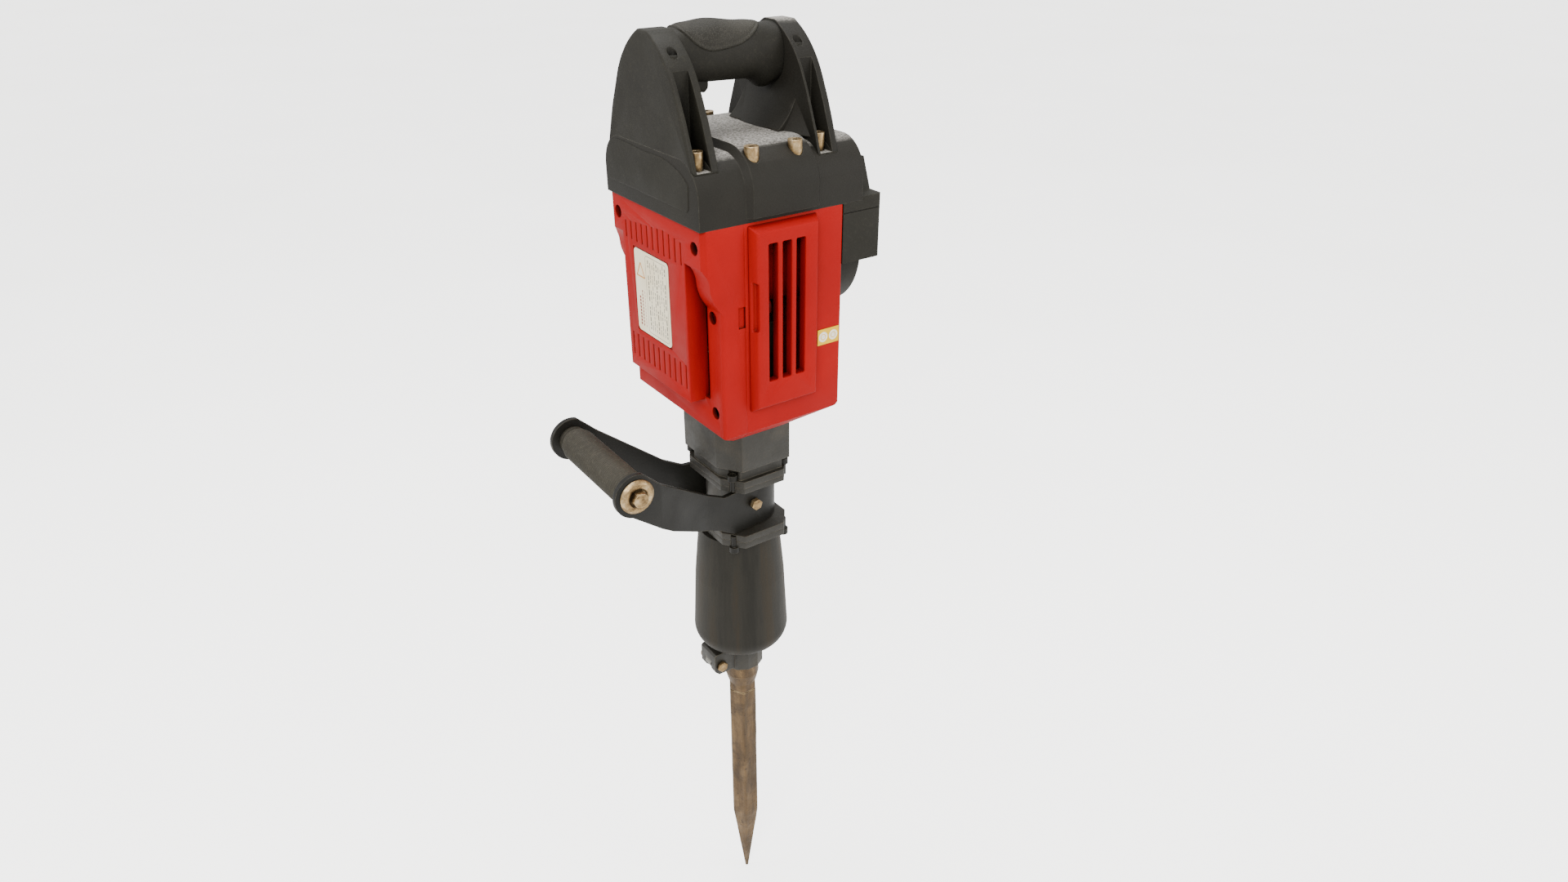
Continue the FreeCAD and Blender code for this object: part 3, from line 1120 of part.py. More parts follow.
def rear_cover():
    """Cover over the brushes and the rear bearing, with the cable guard on its far face."""
    body = new_body("rear_cover")
    y, wall = d.body_front, d.rear_wall
    start, end = d.body_right, d.rear_end
    extrude(body, "YZ_Plane", start, end, [box_loop(-y, d.rear_low, y, d.seam)])
    extrude(body, "YZ_Plane", start, end - 8, [(0, d.motor_height, d.rear_round)])
    extrude(body, "YZ_Plane", end - 8, end - 2, [(0, d.motor_height, d.rear_round - 9)])
    extrude(body, "YZ_Plane", d.cap_right, end,
            [[(-y, d.seam - 1), (y, d.seam - 1), (y, d.rear_step), (d.rear_hump_half + 4, d.rear_step),
              (d.rear_hump_half - 6, d.rear_hump), (6 - d.rear_hump_half, d.rear_hump),
              (-d.rear_hump_half - 4, d.rear_step), (-y, d.rear_step)]])
    cut(body, "YZ_Plane", start - 1, d.cap_right, [box_loop(-y, d.seam, y, d.seam + 12)])
    dress(body, "Chamfer", 2.5, lambda e: runs_along(e, "z") and middle(e).x > 106 and abs(middle(e).y) > 70)
    cut(body, "YZ_Plane", start, end - wall - 2,
        [box_loop(wall - y, d.rear_low + wall, y - wall, d.seam - wall)])
    cut(body, "YZ_Plane", start, end - wall - 8, [(0, d.motor_height, d.rear_round - wall)])
    hub = d.motor_shaft + d.bearing_wall
    extrude(body, "YZ_Plane", d.rear_bearing_x - 1, end - wall,
            [(0, d.motor_height, hub + 4), (0, d.motor_height, hub)])
    cut(body, "YZ_Plane", d.rear_bearing_x - 1, d.rear_bearing_x + 11.4, [(0, d.motor_height, hub)])
    for sign in (-1, 1):
        low, high = sorted((16.8 * sign, 60 * sign))
        extrude(body, "XZ_Plane", low, high, [box_loop(66, d.motor_height - 5.5, 80, d.motor_height + 5.5)])
        low, high = sorted((16.8 * sign, 36 * sign))
        cut(body, "XZ_Plane", low, high,
            [box_loop(67.95, d.motor_height - 3.55, 78.05, d.motor_height + 3.55)])
    for sign in (-1, 1):
        low, high = sorted(((y.value - 0.8) * sign, y.value * sign))
        cut(body, "XZ_Plane", low, high, [box_loop(start, 509.5, end, 510.7)])
    cut(body, "YZ_Plane", end - 12, end, [(d.cord_y, d.cord_height, d.cord_radius - 2)])

    guard = new_body("cord_guard")
    r = d.cord_radius
    extrude(guard, "YZ_Plane", -6, 0, [(0, 0, r - 2.02), (0, 0, 4.6)])
    turn(guard, [(0, 4.6), (0, r + 3), (4, r + 3), (6, r), (30, r - 3), (30, 4.6)], "H_Axis")
    for i in range(4):
        x = 9 + 5 * i
        turn(guard, [(x, r - 3.2), (x, r + 2), (x + 2, r + 2), (x + 2, r - 3.2)], "H_Axis", "Groove")
    place(guard, x=end, y=d.cord_y, z=d.cord_height)


# ---- side handle -----------------------------------------------------------------------------

def side_strap():
    """Steel strap around the neck column: level at the clamp, rising outwards to two round ends."""
    body = new_body("side_strap")
    inner, outer = d.strap_inner, d.strap_inner + d.strap_thick
    wide = d.end_y
    near = wide - d.strap_thick
    end_x = d.handle_x - d.strap_end_radius
    plan = [
        (0, -outer), (outer, 0, outer, 1), (0, outer, outer, 1), (-24, 38.8), (d.kink_x - 1, d.kink_y + 2),
        (d.bend_x - 1, wide), (end_x, wide), (end_x, near), (d.bend_x, near), (d.kink_x, d.kink_y - 3),
        (-24, 33.6), (0, inner), (inner, 0, inner, -1), (0, -inner, inner, -1), (-24, -33.6),
        (d.kink_x, 3 - d.kink_y), (d.bend_x, -near), (end_x, -near), (end_x, -wide),
        (d.bend_x - 1, -wide), (d.kink_x - 1, -d.kink_y - 2), (-24, -38.8)]
    extrude(body, "XY_Plane", 180, 330, [plan])
    x, z, r = d.handle_x, d.handle_height, d.strap_end_radius
    level = d.strap_high - 0.5
    above = [(60, level), (60, 331), (x - 30, 331), (x - 30, z), (x - r, z),
             (x + r / 3, z + r * 0.942809, r, -1),
             (-120, 295), (-93, 275), (-61, 252), (-41, level)]
    below = [(60, 179), (60, d.strap_low + 0.5), (-30, d.strap_low + 0.5), (-48, 207), (-75, 220),
             (-109, 240), (x - r / 4, z - r * 0.968246), (x - r, z, r, -1), (x - 30, z), (x - 30, 179)]
    cut(body, "XZ_Plane", -wide - 1, wide + 1, [above])
    cut(body, "XZ_Plane", -wide - 1, wide + 1, [below])
    cut(body, "XZ_Plane", -wide - 1, wide + 1, [(x, z, d.side_bolt + 0.05)])
    cut(body, "XZ_Plane", -50, 0, [(-5, d.clamp_height, d.screw_shank)])


def side_grip():
    body = new_body("side_grip")
    end, r = d.end_y - d.strap_thick - 0.1, d.grip_radius
    bore, small = d.side_bolt + 0.02, d.grip_end_radius
    outline_points = [(bore, -end), (small, -end), (small, 6 - end), (r, 12 - end), (r, end - 12),
                      (small, end - 6), (small, end), (bore, end)]
    sketch = add_sketch(body, "XY_Plane")
    outline(sketch, outline_points)
    feature = body.newObject("PartDesign::Revolution", "side_grip_turn")
    feature.Profile = sketch
    feature.ReferenceAxis = (sketch, ["V_Axis"])
    feature.Angle = 360.0
    place(body, x=d.handle_x, z=d.handle_height)
    document.recompute()


def side_fixings():
    """Two bolts into the ends of the grip with dished washers, and the screw that clamps the strap."""
    x, z = DIMENSIONS["handle_x"], DIMENSIONS["handle_height"]
    r, hole = DIMENSIONS["washer_radius"], DIMENSIONS["side_bolt"] + 0.3
    profile = [(hole, 0, 0), (r, 0, 0), (r, 0, 1.2), (r - 3, 0, 4), (9.5, 0, 4), (8, 0, 3), (hole, 0, 3)]
    corners = [FreeCAD.Vector(*point) for point in profile]
    dish = Part.Face(Part.makePolygon([*corners, corners[0]]))
    washer = dish.revolve(FreeCAD.Vector(0, 0, 0), FreeCAD.Vector(0, 0, 1), 360)
    bearing = DIMENSIONS["end_y"]
    head = hexagon_bar(DIMENSIONS["side_head_flats"], 6.5)
    head = head.common(Part.makeCone(9.6, 6.6, 6.5))
    bolt = head.fuse(moved(Part.makeCylinder(DIMENSIONS["side_bolt"], 38.0), z=-38.0))
    seat = bearing + 3.0
    group("side_bolts", [moved(bolt, x, -seat, z, (1, 0, 0), 90), moved(bolt, x, seat, z, (1, 0, 0), -90)])
    group("side_washers", [moved(washer, x, -bearing, z, (1, 0, 0), 90),
                           moved(washer, x, bearing, z, (1, 0, 0), -90)])
    screw = new_body("clamp_screw")
    outer = d.strap_inner + d.strap_thick
    extrude(screw, "XZ_Plane", -outer - 6.5, -outer - 0.9, [regular(d.pin_head_flats, 6, 0.2)])
    extrude(screw, "XZ_Plane", -outer - 6.5, -d.column_radius - 0.3, [(0, 0, d.screw_shank - 0.02)])
    place(screw, x=-5, z=d.clamp_height)


# ---- checks and files ------------------------------------------------------------------------

def check_and_write():
    document.recompute()
    for item in document.Objects:
        if "Invalid" in item.State or "Error" in item.State:
            raise RuntimeError(f"{item.Name} failed: {item.State}")
    os.makedirs("parts", exist_ok=True)
    for name, item in subparts.items():
        if item.Shape.isNull() or not item.Shape.isValid() or not item.Shape.Solids:
            raise RuntimeError(f"{name} has no valid solid")
        item.Shape.exportStep(os.path.join("parts", f"{name}.step"))


chisel()
retainer()
tool_holder()
front_cover()
bell()
neck()
flange_bolts()
striking_parts()
crankcase()
gear_plate()
bearings()
crankshaft()
connecting_rod()
gears()
motor()
main_housing()
gear_cover()
cover_screws()
rating_label()
sticker()
grilles()
top_cap()
cap_screws()
uprights()
plugs()
grip()
rear_cover()
side_strap()
side_grip()
side_fixings()
check_and_write()
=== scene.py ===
"""A demolition hammer standing on its chisel: looks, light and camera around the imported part."""

import math

import bmesh
import bpy
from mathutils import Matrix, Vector, noise
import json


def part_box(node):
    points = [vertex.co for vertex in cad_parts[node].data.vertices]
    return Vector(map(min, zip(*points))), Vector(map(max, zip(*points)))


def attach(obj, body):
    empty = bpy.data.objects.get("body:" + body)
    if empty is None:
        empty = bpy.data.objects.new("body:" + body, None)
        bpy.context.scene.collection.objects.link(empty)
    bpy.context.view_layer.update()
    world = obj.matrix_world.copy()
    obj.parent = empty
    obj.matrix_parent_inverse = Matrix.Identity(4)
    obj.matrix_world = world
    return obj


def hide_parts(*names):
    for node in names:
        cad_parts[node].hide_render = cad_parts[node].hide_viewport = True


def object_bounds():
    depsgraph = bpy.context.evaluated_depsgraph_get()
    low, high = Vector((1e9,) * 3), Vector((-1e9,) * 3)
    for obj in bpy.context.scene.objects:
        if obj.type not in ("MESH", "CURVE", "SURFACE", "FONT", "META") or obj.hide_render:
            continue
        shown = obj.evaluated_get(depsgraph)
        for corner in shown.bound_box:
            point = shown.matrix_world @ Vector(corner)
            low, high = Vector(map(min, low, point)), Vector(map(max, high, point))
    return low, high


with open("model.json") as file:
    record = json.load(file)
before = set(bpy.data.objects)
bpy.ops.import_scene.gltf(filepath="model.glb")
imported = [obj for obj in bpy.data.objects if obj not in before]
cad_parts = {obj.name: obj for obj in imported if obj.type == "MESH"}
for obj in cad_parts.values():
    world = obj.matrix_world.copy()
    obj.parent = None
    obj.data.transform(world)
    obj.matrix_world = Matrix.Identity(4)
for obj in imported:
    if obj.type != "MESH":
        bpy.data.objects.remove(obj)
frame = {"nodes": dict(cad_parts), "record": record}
CAD_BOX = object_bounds()
NODES = frame["nodes"]


MM = 1000  # millimetres in a metre

# ---- node helpers ----------------------------------------------------------------------------

DEEPEN = 0.34  # share of a colour that is left alone; the rest is multiplied by the colour itself
SHINE = 0.45  # factor on the specular level of everything that isn't metal
BEVEL_SAMPLES = 6
HOLLOW_SAMPLES = 8


def srgb(red, green, blue):
    """A display colour out of 255 as a node colour, its dark channels deepened for the bright studio."""
    def linear(value):
        """One channel through the standard display curve."""
        value /= 255
        value = value / 12.92 if value <= 0.04045 else ((value + 0.055) / 1.055) ** 2.4
        return value * (DEEPEN + (1 - DEEPEN) * value)
    return (linear(red), linear(green), linear(blue), 1.0)


class Look:
    """A material being built: its node tree, its surface shader and short ways to add nodes."""

    def __init__(self, name):
        """Starts a material whose textures follow the object's own coordinates."""
        self.material = bpy.data.materials.new(name)
        self.material.use_nodes = True
        self.tree = self.material.node_tree
        self.surface = self.tree.nodes["Principled BSDF"]
        self.place = self.node("ShaderNodeTexCoord").outputs["Object"]

    def node(self, kind, **settings):
        """Adds a node and sets its options."""
        made = self.tree.nodes.new(kind)
        for key, value in settings.items():
            setattr(made, key, value)
        return made

    def join(self, source, target):
        """Links an output socket to an input socket."""
        self.tree.links.new(source, target)

    def feed(self, socket, value):
        """Sets a socket from a number, a colour or another socket."""
        if isinstance(value, bpy.types.NodeSocket):
            self.join(value, socket)
        else:
            socket.default_value = value

    def stretched(self, scale):
        """Object coordinates scaled along each axis, to draw streaks out."""
        mapping = self.node("ShaderNodeMapping")
        self.join(self.place, mapping.inputs["Vector"])
        mapping.inputs["Scale"].default_value = scale
        return mapping.outputs["Vector"]

    def noise(self, scale, detail=4.0, roughness=0.55, along=None, distortion=0.0):
        """Cloudy noise from 0 to 1."""
        made = self.node("ShaderNodeTexNoise")
        self.join(along or self.place, made.inputs["Vector"])
        made.inputs["Scale"].default_value = scale
        made.inputs["Detail"].default_value = detail
        made.inputs["Roughness"].default_value = roughness
        made.inputs["Distortion"].default_value = distortion
        return made.outputs["Fac"]

    def cells(self, scale):
        """Distance to the nearest of many scattered points, for grains and pebbles."""
        made = self.node("ShaderNodeTexVoronoi")
        self.join(self.place, made.inputs["Vector"])
        made.inputs["Scale"].default_value = scale
        return made.outputs["Distance"]

    def ramp(self, value, *stops):
        """Maps a value through stops of (position, colour or grey)."""
        made = self.node("ShaderNodeValToRGB")
        self.join(value, made.inputs["Fac"])
        elements = made.color_ramp.elements
        while len(elements) < len(stops):
            elements.new(0.5)
        for element, (position, colour) in zip(elements, stops):
            element.position = position
            grey = isinstance(colour, (int, float))
            element.color = (colour, colour, colour, 1.0) if grey else colour
        return made.outputs["Color"]

    def mix(self, share, first, second):
        """Blends from the first colour to the second by the share."""
        made = self.node("ShaderNodeMix", data_type="RGBA")
        self.feed(made.inputs["Factor"], share)
        self.feed(made.inputs["A"], first)
        self.feed(made.inputs["B"], second)
        return made.outputs["Result"]

    def calc(self, first, second, kind="ADD"):
        """The sum of two values, or their difference or product."""
        made = self.node("ShaderNodeMath", operation=kind)
        self.feed(made.inputs[0], first)
        self.feed(made.inputs[1], second)
        return made.outputs[0]

    def rolled_normal(self, radius):
        """The surface normal as if every edge were rolled over by the radius."""
        bevel = self.node("ShaderNodeBevel", samples=BEVEL_SAMPLES)
        bevel.inputs["Radius"].default_value = radius
        return bevel.outputs["Normal"]

    def worn_edges(self, width=0.0012, low=0.02, high=0.16):
        """1 on sharp edges and 0 on flat faces, broken up by noise."""
        bevel = self.rolled_normal(width)
        flat = self.node("ShaderNodeNewGeometry")
        dot = self.node("ShaderNodeVectorMath", operation="DOT_PRODUCT")
        self.join(bevel, dot.inputs[0])
        self.join(flat.outputs["True Normal"], dot.inputs[1])
        edge = self.calc(1.0, dot.outputs["Value"], "SUBTRACT")
        chips = self.ramp(self.noise(160.0, 5.0), (0.4, 0.35), (0.62, 1.0))
        return self.calc(self.ramp(edge, (low, 0.0), (high, 1.0)), chips, "MULTIPLY")

    def painted_hollow_shade(self, colour, deep, reach=0.02, open_share=0.82, shut_share=0.30):
        """Painted shade: darkens a colour towards the deep one where the surface is closed in by its
        surroundings, as shade falls in hollows.
        """
        hollow = self.node("ShaderNodeAmbientOcclusion", samples=HOLLOW_SAMPLES)
        hollow.inputs["Distance"].default_value = reach
        shut = self.ramp(hollow.outputs["AO"], (shut_share, 1.0), (open_share, 0.0))
        return self.mix(shut, colour, deep)

    def bump(self, height, strength, distance, rounding=0.0):
        """Raises the surface by a height value, over edges rolled by the rounding."""
        made = self.node("ShaderNodeBump")
        made.inputs["Strength"].default_value = strength
        made.inputs["Distance"].default_value = distance
        self.join(height, made.inputs["Height"])
        if rounding:
            self.join(self.rolled_normal(rounding), made.inputs["Normal"])
        self.join(made.outputs["Normal"], self.surface.inputs["Normal"])

    def finish(self, colour, roughness, metallic=0.0, specular=0.5):
        """Feeds the surface shader and gives the finished material back."""
        self.feed(self.surface.inputs["Base Color"], colour)
        self.feed(self.surface.inputs["Roughness"], roughness)
        self.surface.inputs["Metallic"].default_value = metallic
        self.surface.inputs["Specular IOR Level"].default_value = specular * (1.0 if metallic else SHINE)
        return self.material


# ---- materials -------------------------------------------------------------------------------

def red_plastic():
    """Bright red moulded plastic: fine grain, faint mottling, paler handling marks on edges and painted
    shade in its recesses.
    """
    look = Look("red_plastic")
    cloud = look.ramp(look.noise(9.0, 5.0), (0.30, srgb(170, 13, 11)), (0.72, srgb(194, 19, 15)))
    speck = look.ramp(look.cells(900.0), (0.02, srgb(200, 48, 40)), (0.16, srgb(174, 16, 13)))
    colour = look.mix(0.35, cloud, speck)
    colour = look.mix(look.calc(look.worn_edges(), 0.45, "MULTIPLY"), colour, srgb(206, 46, 36))
    dirt = look.ramp(look.noise(14.0, 8.0, 0.7), (0.62, 0.0), (0.80, 0.22))
    colour = look.mix(dirt, colour, srgb(120, 34, 26))
    # painted shade: channels, wells and recesses darkened towards a deep red-brown
    colour = look.painted_hollow_shade(colour, srgb(56, 22, 18), 0.022, 0.80, 0.32)
    look.bump(look.noise(1500.0, 2.0), 0.14, 0.0004, 0.0014)
    rough = look.ramp(look.noise(30.0, 4.0), (0.3, 0.44), (0.7, 0.56))
    return look.finish(colour, rough, specular=0.22)


def black_plastic(name="black_plastic", base=(47, 45, 38), grain=1000.0, strength=0.3):
    """Dark warm-grey moulded plastic with a spark-eroded texture, rubbed, paler edges and painted shade in
    its hollows.
    """
    look = Look(name)
    light = tuple(min(255, value * 1.22) for value in base)
    cloud = look.ramp(look.noise(11.0, 6.0, 0.6), (0.30, srgb(*base)), (0.74, srgb(*light)))
    pale = srgb(*(min(255, value * 1.75) for value in base))
    colour = look.mix(look.calc(look.worn_edges(), 0.6, "MULTIPLY"), cloud, pale)
    dust = look.ramp(look.noise(320.0, 3.0), (0.54, 0.0), (0.74, 0.24))
    colour = look.mix(dust, colour, pale)
    # painted shade: hollows and slots darkened towards near-black
    colour = look.painted_hollow_shade(colour, srgb(20, 19, 16), 0.016, 0.72, 0.28)
    look.bump(look.noise(grain, 2.0), strength, 0.0005, 0.0016)
    rough = look.ramp(look.noise(26.0, 4.0), (0.3, 0.52), (0.7, 0.66))
    return look.finish(colour, rough, specular=0.38)


def cap_plastic():
    """The cap's plastic: the same black, with painted light on faces turned upward, which are lightened to a
    speckled grey.
    """
    look = Look("cap_plastic")
    base = look.ramp(look.noise(11.0, 6.0, 0.6), (0.30, srgb(46, 44, 38)), (0.74, srgb(60, 57, 50)))
    normal = look.node("ShaderNodeNewGeometry").outputs["Normal"]
    split = look.node("ShaderNodeSeparateXYZ")
    look.join(normal, split.inputs[0])
    # painted light: faces turned upward lightened to a speckled pale grey, as the top light falls on them
    lit_from_above = look.ramp(split.outputs["Z"], (0.86, 0.0), (0.995, 1.0))
    lit_grains = look.ramp(look.noise(520.0, 5.0, 0.7), (0.38, srgb(122, 119, 114)), (0.66, srgb(204, 201, 196)))
    colour = look.mix(look.calc(lit_from_above, 0.88, "MULTIPLY"), base, lit_grains)
    colour = look.mix(look.calc(look.worn_edges(), 0.6, "MULTIPLY"), colour, srgb(112, 108, 98))
    look.bump(look.noise(850.0, 2.0), 0.4, 0.0006, 0.0016)
    return look.finish(colour, 0.6, specular=0.36)


def soft_grip():
    """Over-moulded grip rubber with a pebbled surface."""
    look = Look("soft_grip")
    pebble = look.ramp(look.cells(900.0), (0.05, 1.0), (0.60, 0.0))
    colour = look.mix(pebble, srgb(56, 54, 47), srgb(80, 77, 69))
    colour = look.mix(look.ramp(look.noise(18.0, 4.0), (0.45, 0.0), (0.75, 0.4)), colour, srgb(104, 101, 92))
    look.bump(pebble, 0.7, 0.0003)
    return look.finish(colour, 0.62, specular=0.4)


def black_casting():
    """Enamelled casting: pitted skin, brownish bloom and bare metal on its edges."""
    look = Look("black_casting")
    cloud = look.ramp(look.noise(16.0, 8.0, 0.65), (0.30, srgb(50, 47, 39)), (0.52, srgb(62, 59, 50)),
                      (0.74, srgb(84, 76, 60)))
    colour = look.mix(look.worn_edges(0.001, 0.04, 0.2), cloud, srgb(138, 128, 106))
    pits = look.noise(420.0, 6.0, 0.7)
    look.bump(pits, 0.45, 0.0006, 0.001)
    rough = look.ramp(look.noise(40.0, 5.0), (0.3, 0.38), (0.7, 0.6))
    return look.finish(colour, rough, metallic=0.25, specular=0.5)


def bell_rubber():
    """Black rubber with upright brown weathering streaks."""
    look = Look("bell_rubber")
    streaks = look.noise(40.0, 8.0, 0.65, along=look.stretched((1.0, 1.0, 0.06)))
    colour = look.ramp(streaks, (0.36, srgb(48, 46, 39)), (0.50, srgb(60, 57, 49)),
                       (0.62, srgb(68, 59, 44)), (0.72, srgb(54, 51, 43)))
    bloom = look.ramp(look.noise(7.0, 6.0, 0.6), (0.45, 0.0), (0.8, 0.45))
    colour = look.mix(bloom, colour, srgb(80, 76, 66))
    look.bump(look.noise(260.0, 6.0, 0.7, along=look.stretched((1.0, 1.0, 0.25))), 0.35, 0.0006)
    return look.finish(colour, 0.55, specular=0.4)


def worn_steel():
    """Forged chisel steel: tan and grey-brown stains drawn along the bar, and rust specks."""
    look = Look("worn_steel")
    long_way = look.stretched((1.0, 1.0, 0.12))
    base = look.ramp(look.noise(55.0, 8.0, 0.7, along=long_way), (0.30, srgb(84, 70, 51)),
                     (0.48, srgb(126, 104, 73)), (0.62, srgb(152, 129, 94)), (0.78, srgb(190, 170, 136)))
    stain = look.ramp(look.noise(24.0, 8.0, 0.75, distortion=0.6), (0.46, 0.0), (0.62, 0.85))
    colour = look.mix(stain, base, srgb(98, 80, 58))
    specks = look.ramp(look.noise(330.0, 4.0, 0.6), (0.62, 0.0), (0.70, 0.9))
    colour = look.mix(specks, colour, srgb(64, 50, 38))
    colour = look.mix(look.worn_edges(0.0012, 0.03, 0.14), colour, srgb(208, 190, 158))
    height = look.calc(look.noise(90.0, 8.0, 0.7, along=long_way), look.noise(500.0, 3.0))
    look.bump(height, 0.5, 0.0007, 0.0012)
    rough = look.ramp(look.noise(60.0, 5.0), (0.3, 0.36), (0.7, 0.62))
    return look.finish(colour, rough, metallic=0.55)


def rusty_steel():
    """Steel with a bloom of brown rust over machined faces."""
    look = Look("rusty_steel")
    colour = look.ramp(look.noise(70.0, 8.0, 0.75), (0.32, srgb(70, 50, 32)), (0.5, srgb(120, 84, 48)),
                       (0.68, srgb(150, 128, 98)))
    look.bump(look.noise(300.0, 6.0, 0.7), 0.6, 0.0006)
    return look.finish(colour, 0.6, metallic=0.4)


def machined_steel():
    """Turned steel: fine marks round the bar and an uneven polish."""
    base = (176, 174, 168)
    look = Look("machined_steel")
    marks = look.noise(120.0, 6.0, 0.6, along=look.stretched((1.0, 8.0, 8.0)))
    dark = tuple(value * 0.72 for value in base)
    colour = look.ramp(marks, (0.35, srgb(*dark)), (0.65, srgb(*base)))
    look.bump(marks, 0.2, 0.0003, 0.0006)
    rough = look.ramp(look.noise(45.0, 4.0), (0.3, 0.24), (0.7, 0.42))
    return look.finish(colour, rough, metallic=0.95)


def yellow_zinc():
    """Plated fixings: pale brass tone, darker stains, bright rims and painted shade where they are closed
    in.
    """
    look = Look("yellow_zinc")
    colour = look.ramp(look.noise(90.0, 7.0, 0.7), (0.34, srgb(122, 100, 70)), (0.50, srgb(186, 164, 126)),
                       (0.70, srgb(226, 212, 184)))
    colour = look.mix(look.worn_edges(0.0008, 0.04, 0.2), colour, srgb(240, 230, 208))
    # painted shade: the screws darkened where they sit closed in, to set their heads apart
    colour = look.painted_hollow_shade(colour, srgb(52, 42, 28), 0.006, 0.85, 0.3)
    look.bump(look.noise(420.0, 4.0), 0.25, 0.0003, 0.0008)
    return look.finish(colour, look.ramp(look.noise(70.0, 4.0), (0.3, 0.24), (0.7, 0.46)), metallic=0.8)


def black_strap():
    """Satin black steel with a faint brown cast and rubbed edges."""
    look = Look("black_strap")
    colour = look.ramp(look.noise(20.0, 7.0, 0.65), (0.32, srgb(30, 29, 24)), (0.72, srgb(44, 42, 36)))
    colour = look.mix(look.worn_edges(0.001, 0.04, 0.2), colour, srgb(116, 110, 94))
    look.bump(look.noise(500.0, 4.0), 0.25, 0.0004, 0.0008)
    return look.finish(colour, look.ramp(look.noise(34.0, 4.0), (0.3, 0.36), (0.7, 0.54)), specular=0.5)


def plain(name, low, high, scale, rough, metallic=0.0, strength=0.3):
    """Shared recipe for the small inner pieces: two-tone noise, bump and rounded edges."""
    look = Look(name)
    colour = look.ramp(look.noise(scale, 5.0, 0.6), (0.35, srgb(*low)), (0.68, srgb(*high)))
    look.bump(look.noise(scale * 6, 4.0), strength, 0.0004, 0.0006)
    return look.finish(colour, rough, metallic=metallic)


def lamination():
    """Stacked sheet steel: fine bands across the motor's axis."""
    look = Look("lamination")
    bands = look.noise(500.0, 2.0, 0.5, along=look.stretched((1.0, 0.02, 0.02)))
    colour = look.ramp(bands, (0.4, srgb(62, 62, 66)), (0.6, srgb(128, 128, 132)))
    look.bump(bands, 0.5, 0.0004)
    return look.finish(colour, 0.45, metallic=0.7)


MATERIALS = {
    "worn_steel": worn_steel(), "bell_rubber": bell_rubber(), "black_casting": black_casting(),
    "machined_steel": machined_steel(), "rusty_steel": rusty_steel(),
    "cast_alloy": plain("cast_alloy", (136, 137, 138), (176, 176, 174), 40.0, 0.5, 0.6),
    "yellow_zinc": yellow_zinc(), "red_plastic": red_plastic(), "black_plastic": black_plastic(),
    "soft_grip": soft_grip(), "black_strap": black_strap(),
    "seal_rubber": plain("seal_rubber", (28, 28, 27), (44, 43, 41), 60.0, 0.62),
    "copper": plain("copper", (142, 74, 42), (196, 118, 72), 80.0, 0.34, 0.85, 0.4),
    "lamination": lamination(), "carbon": plain("carbon", (30, 30, 32), (52, 52, 54), 90.0, 0.66),
    "cream_label": plain("cream_label", (238, 230, 208), (246, 240, 222), 24.0, 0.36, 0.0, 0.05),
    "yellow_film": plain("yellow_film", (226, 196, 0), (238, 208, 4), 30.0, 0.34, 0.0, 0.05),
}
CAP_LOOK = cap_plastic()
RIB_LOOK = black_plastic("rib_rubber", (72, 69, 61), 700.0, 0.25)
SLOT_OF = {entry["node"]: entry["material_slot"] for entry in frame["record"]["subparts"]}


def dress_nodes():
    """Gives every CAD node the material of its slot."""
    for name, node in NODES.items():
        node.data.materials.clear()
        node.data.materials.append(MATERIALS[SLOT_OF[name]])


# ---- making pieces ---------------------------------------------------------------------------

def add_object(name, mesh, body, slot, *nodes, look=None):
    """Links a mesh as a piece on a body, with the slot's material, in place of the CAD nodes."""
    made = bpy.data.objects.new(name, mesh)
    bpy.context.scene.collection.objects.link(made)
    inks = [face.material_index for face in mesh.polygons]
    mesh.materials.clear()
    mesh.materials.append(look or MATERIALS[slot])
    mesh.polygons.foreach_set("material_index", inks)
    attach(made, body)
    if nodes:
        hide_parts(*nodes)
    return made


def apply_modifiers(made):
    """Bakes an object's modifiers into its mesh."""
    bpy.context.view_layer.update()
    graph = bpy.context.evaluated_depsgraph_get()
    baked = bpy.data.meshes.new_from_object(made.evaluated_get(graph))
    made.modifiers.clear()
    made.data = baked


def sharpen(made, angle):
    """Keeps creases sharper than the angle hard on an otherwise smooth mesh."""
    made.data.set_sharp_from_angle(angle=math.radians(angle))


def softened(node, body, width, look=None):
    """A copy of a CAD node's shape with its sharp edges rolled over, standing for that node."""
    weld, flat_turn, rolled_turn, crease = 0.00002, math.radians(3.0), math.radians(28.0), 32.0
    mesh = NODES[node].data.copy()
    work = bmesh.new()
    work.from_mesh(mesh)
    bmesh.ops.remove_doubles(work, verts=work.verts, dist=weld)
    bmesh.ops.dissolve_limit(work, angle_limit=flat_turn, verts=work.verts, edges=work.edges)
    work.to_mesh(mesh)
    work.free()
    slot = SLOT_OF[node]
    made = add_object(f"{node}_skin", mesh, body, slot, node, look=look)
    roll = made.modifiers.new("roll", "BEVEL")
    roll.width = width
    roll.segments = 3
    roll.limit_method = "ANGLE"
    roll.angle_limit = rolled_turn
    roll.use_clamp_overlap = True
    roll.miter_outer = "MITER_ARC"
    apply_modifiers(made)
    for face in made.data.polygons:
        face.use_smooth = True
    sharpen(made, crease)


def finished(work, name, outward=True, smooth=True):
    """The mesh being built as a finished one, with its normals outward and its faces smooth."""
    if outward:
        bmesh.ops.recalc_face_normals(work, faces=work.faces)
    if smooth:
        for face in work.faces:
            face.smooth = True
    mesh = bpy.data.meshes.new(name)
    work.to_mesh(mesh)
    work.free()
    return mesh


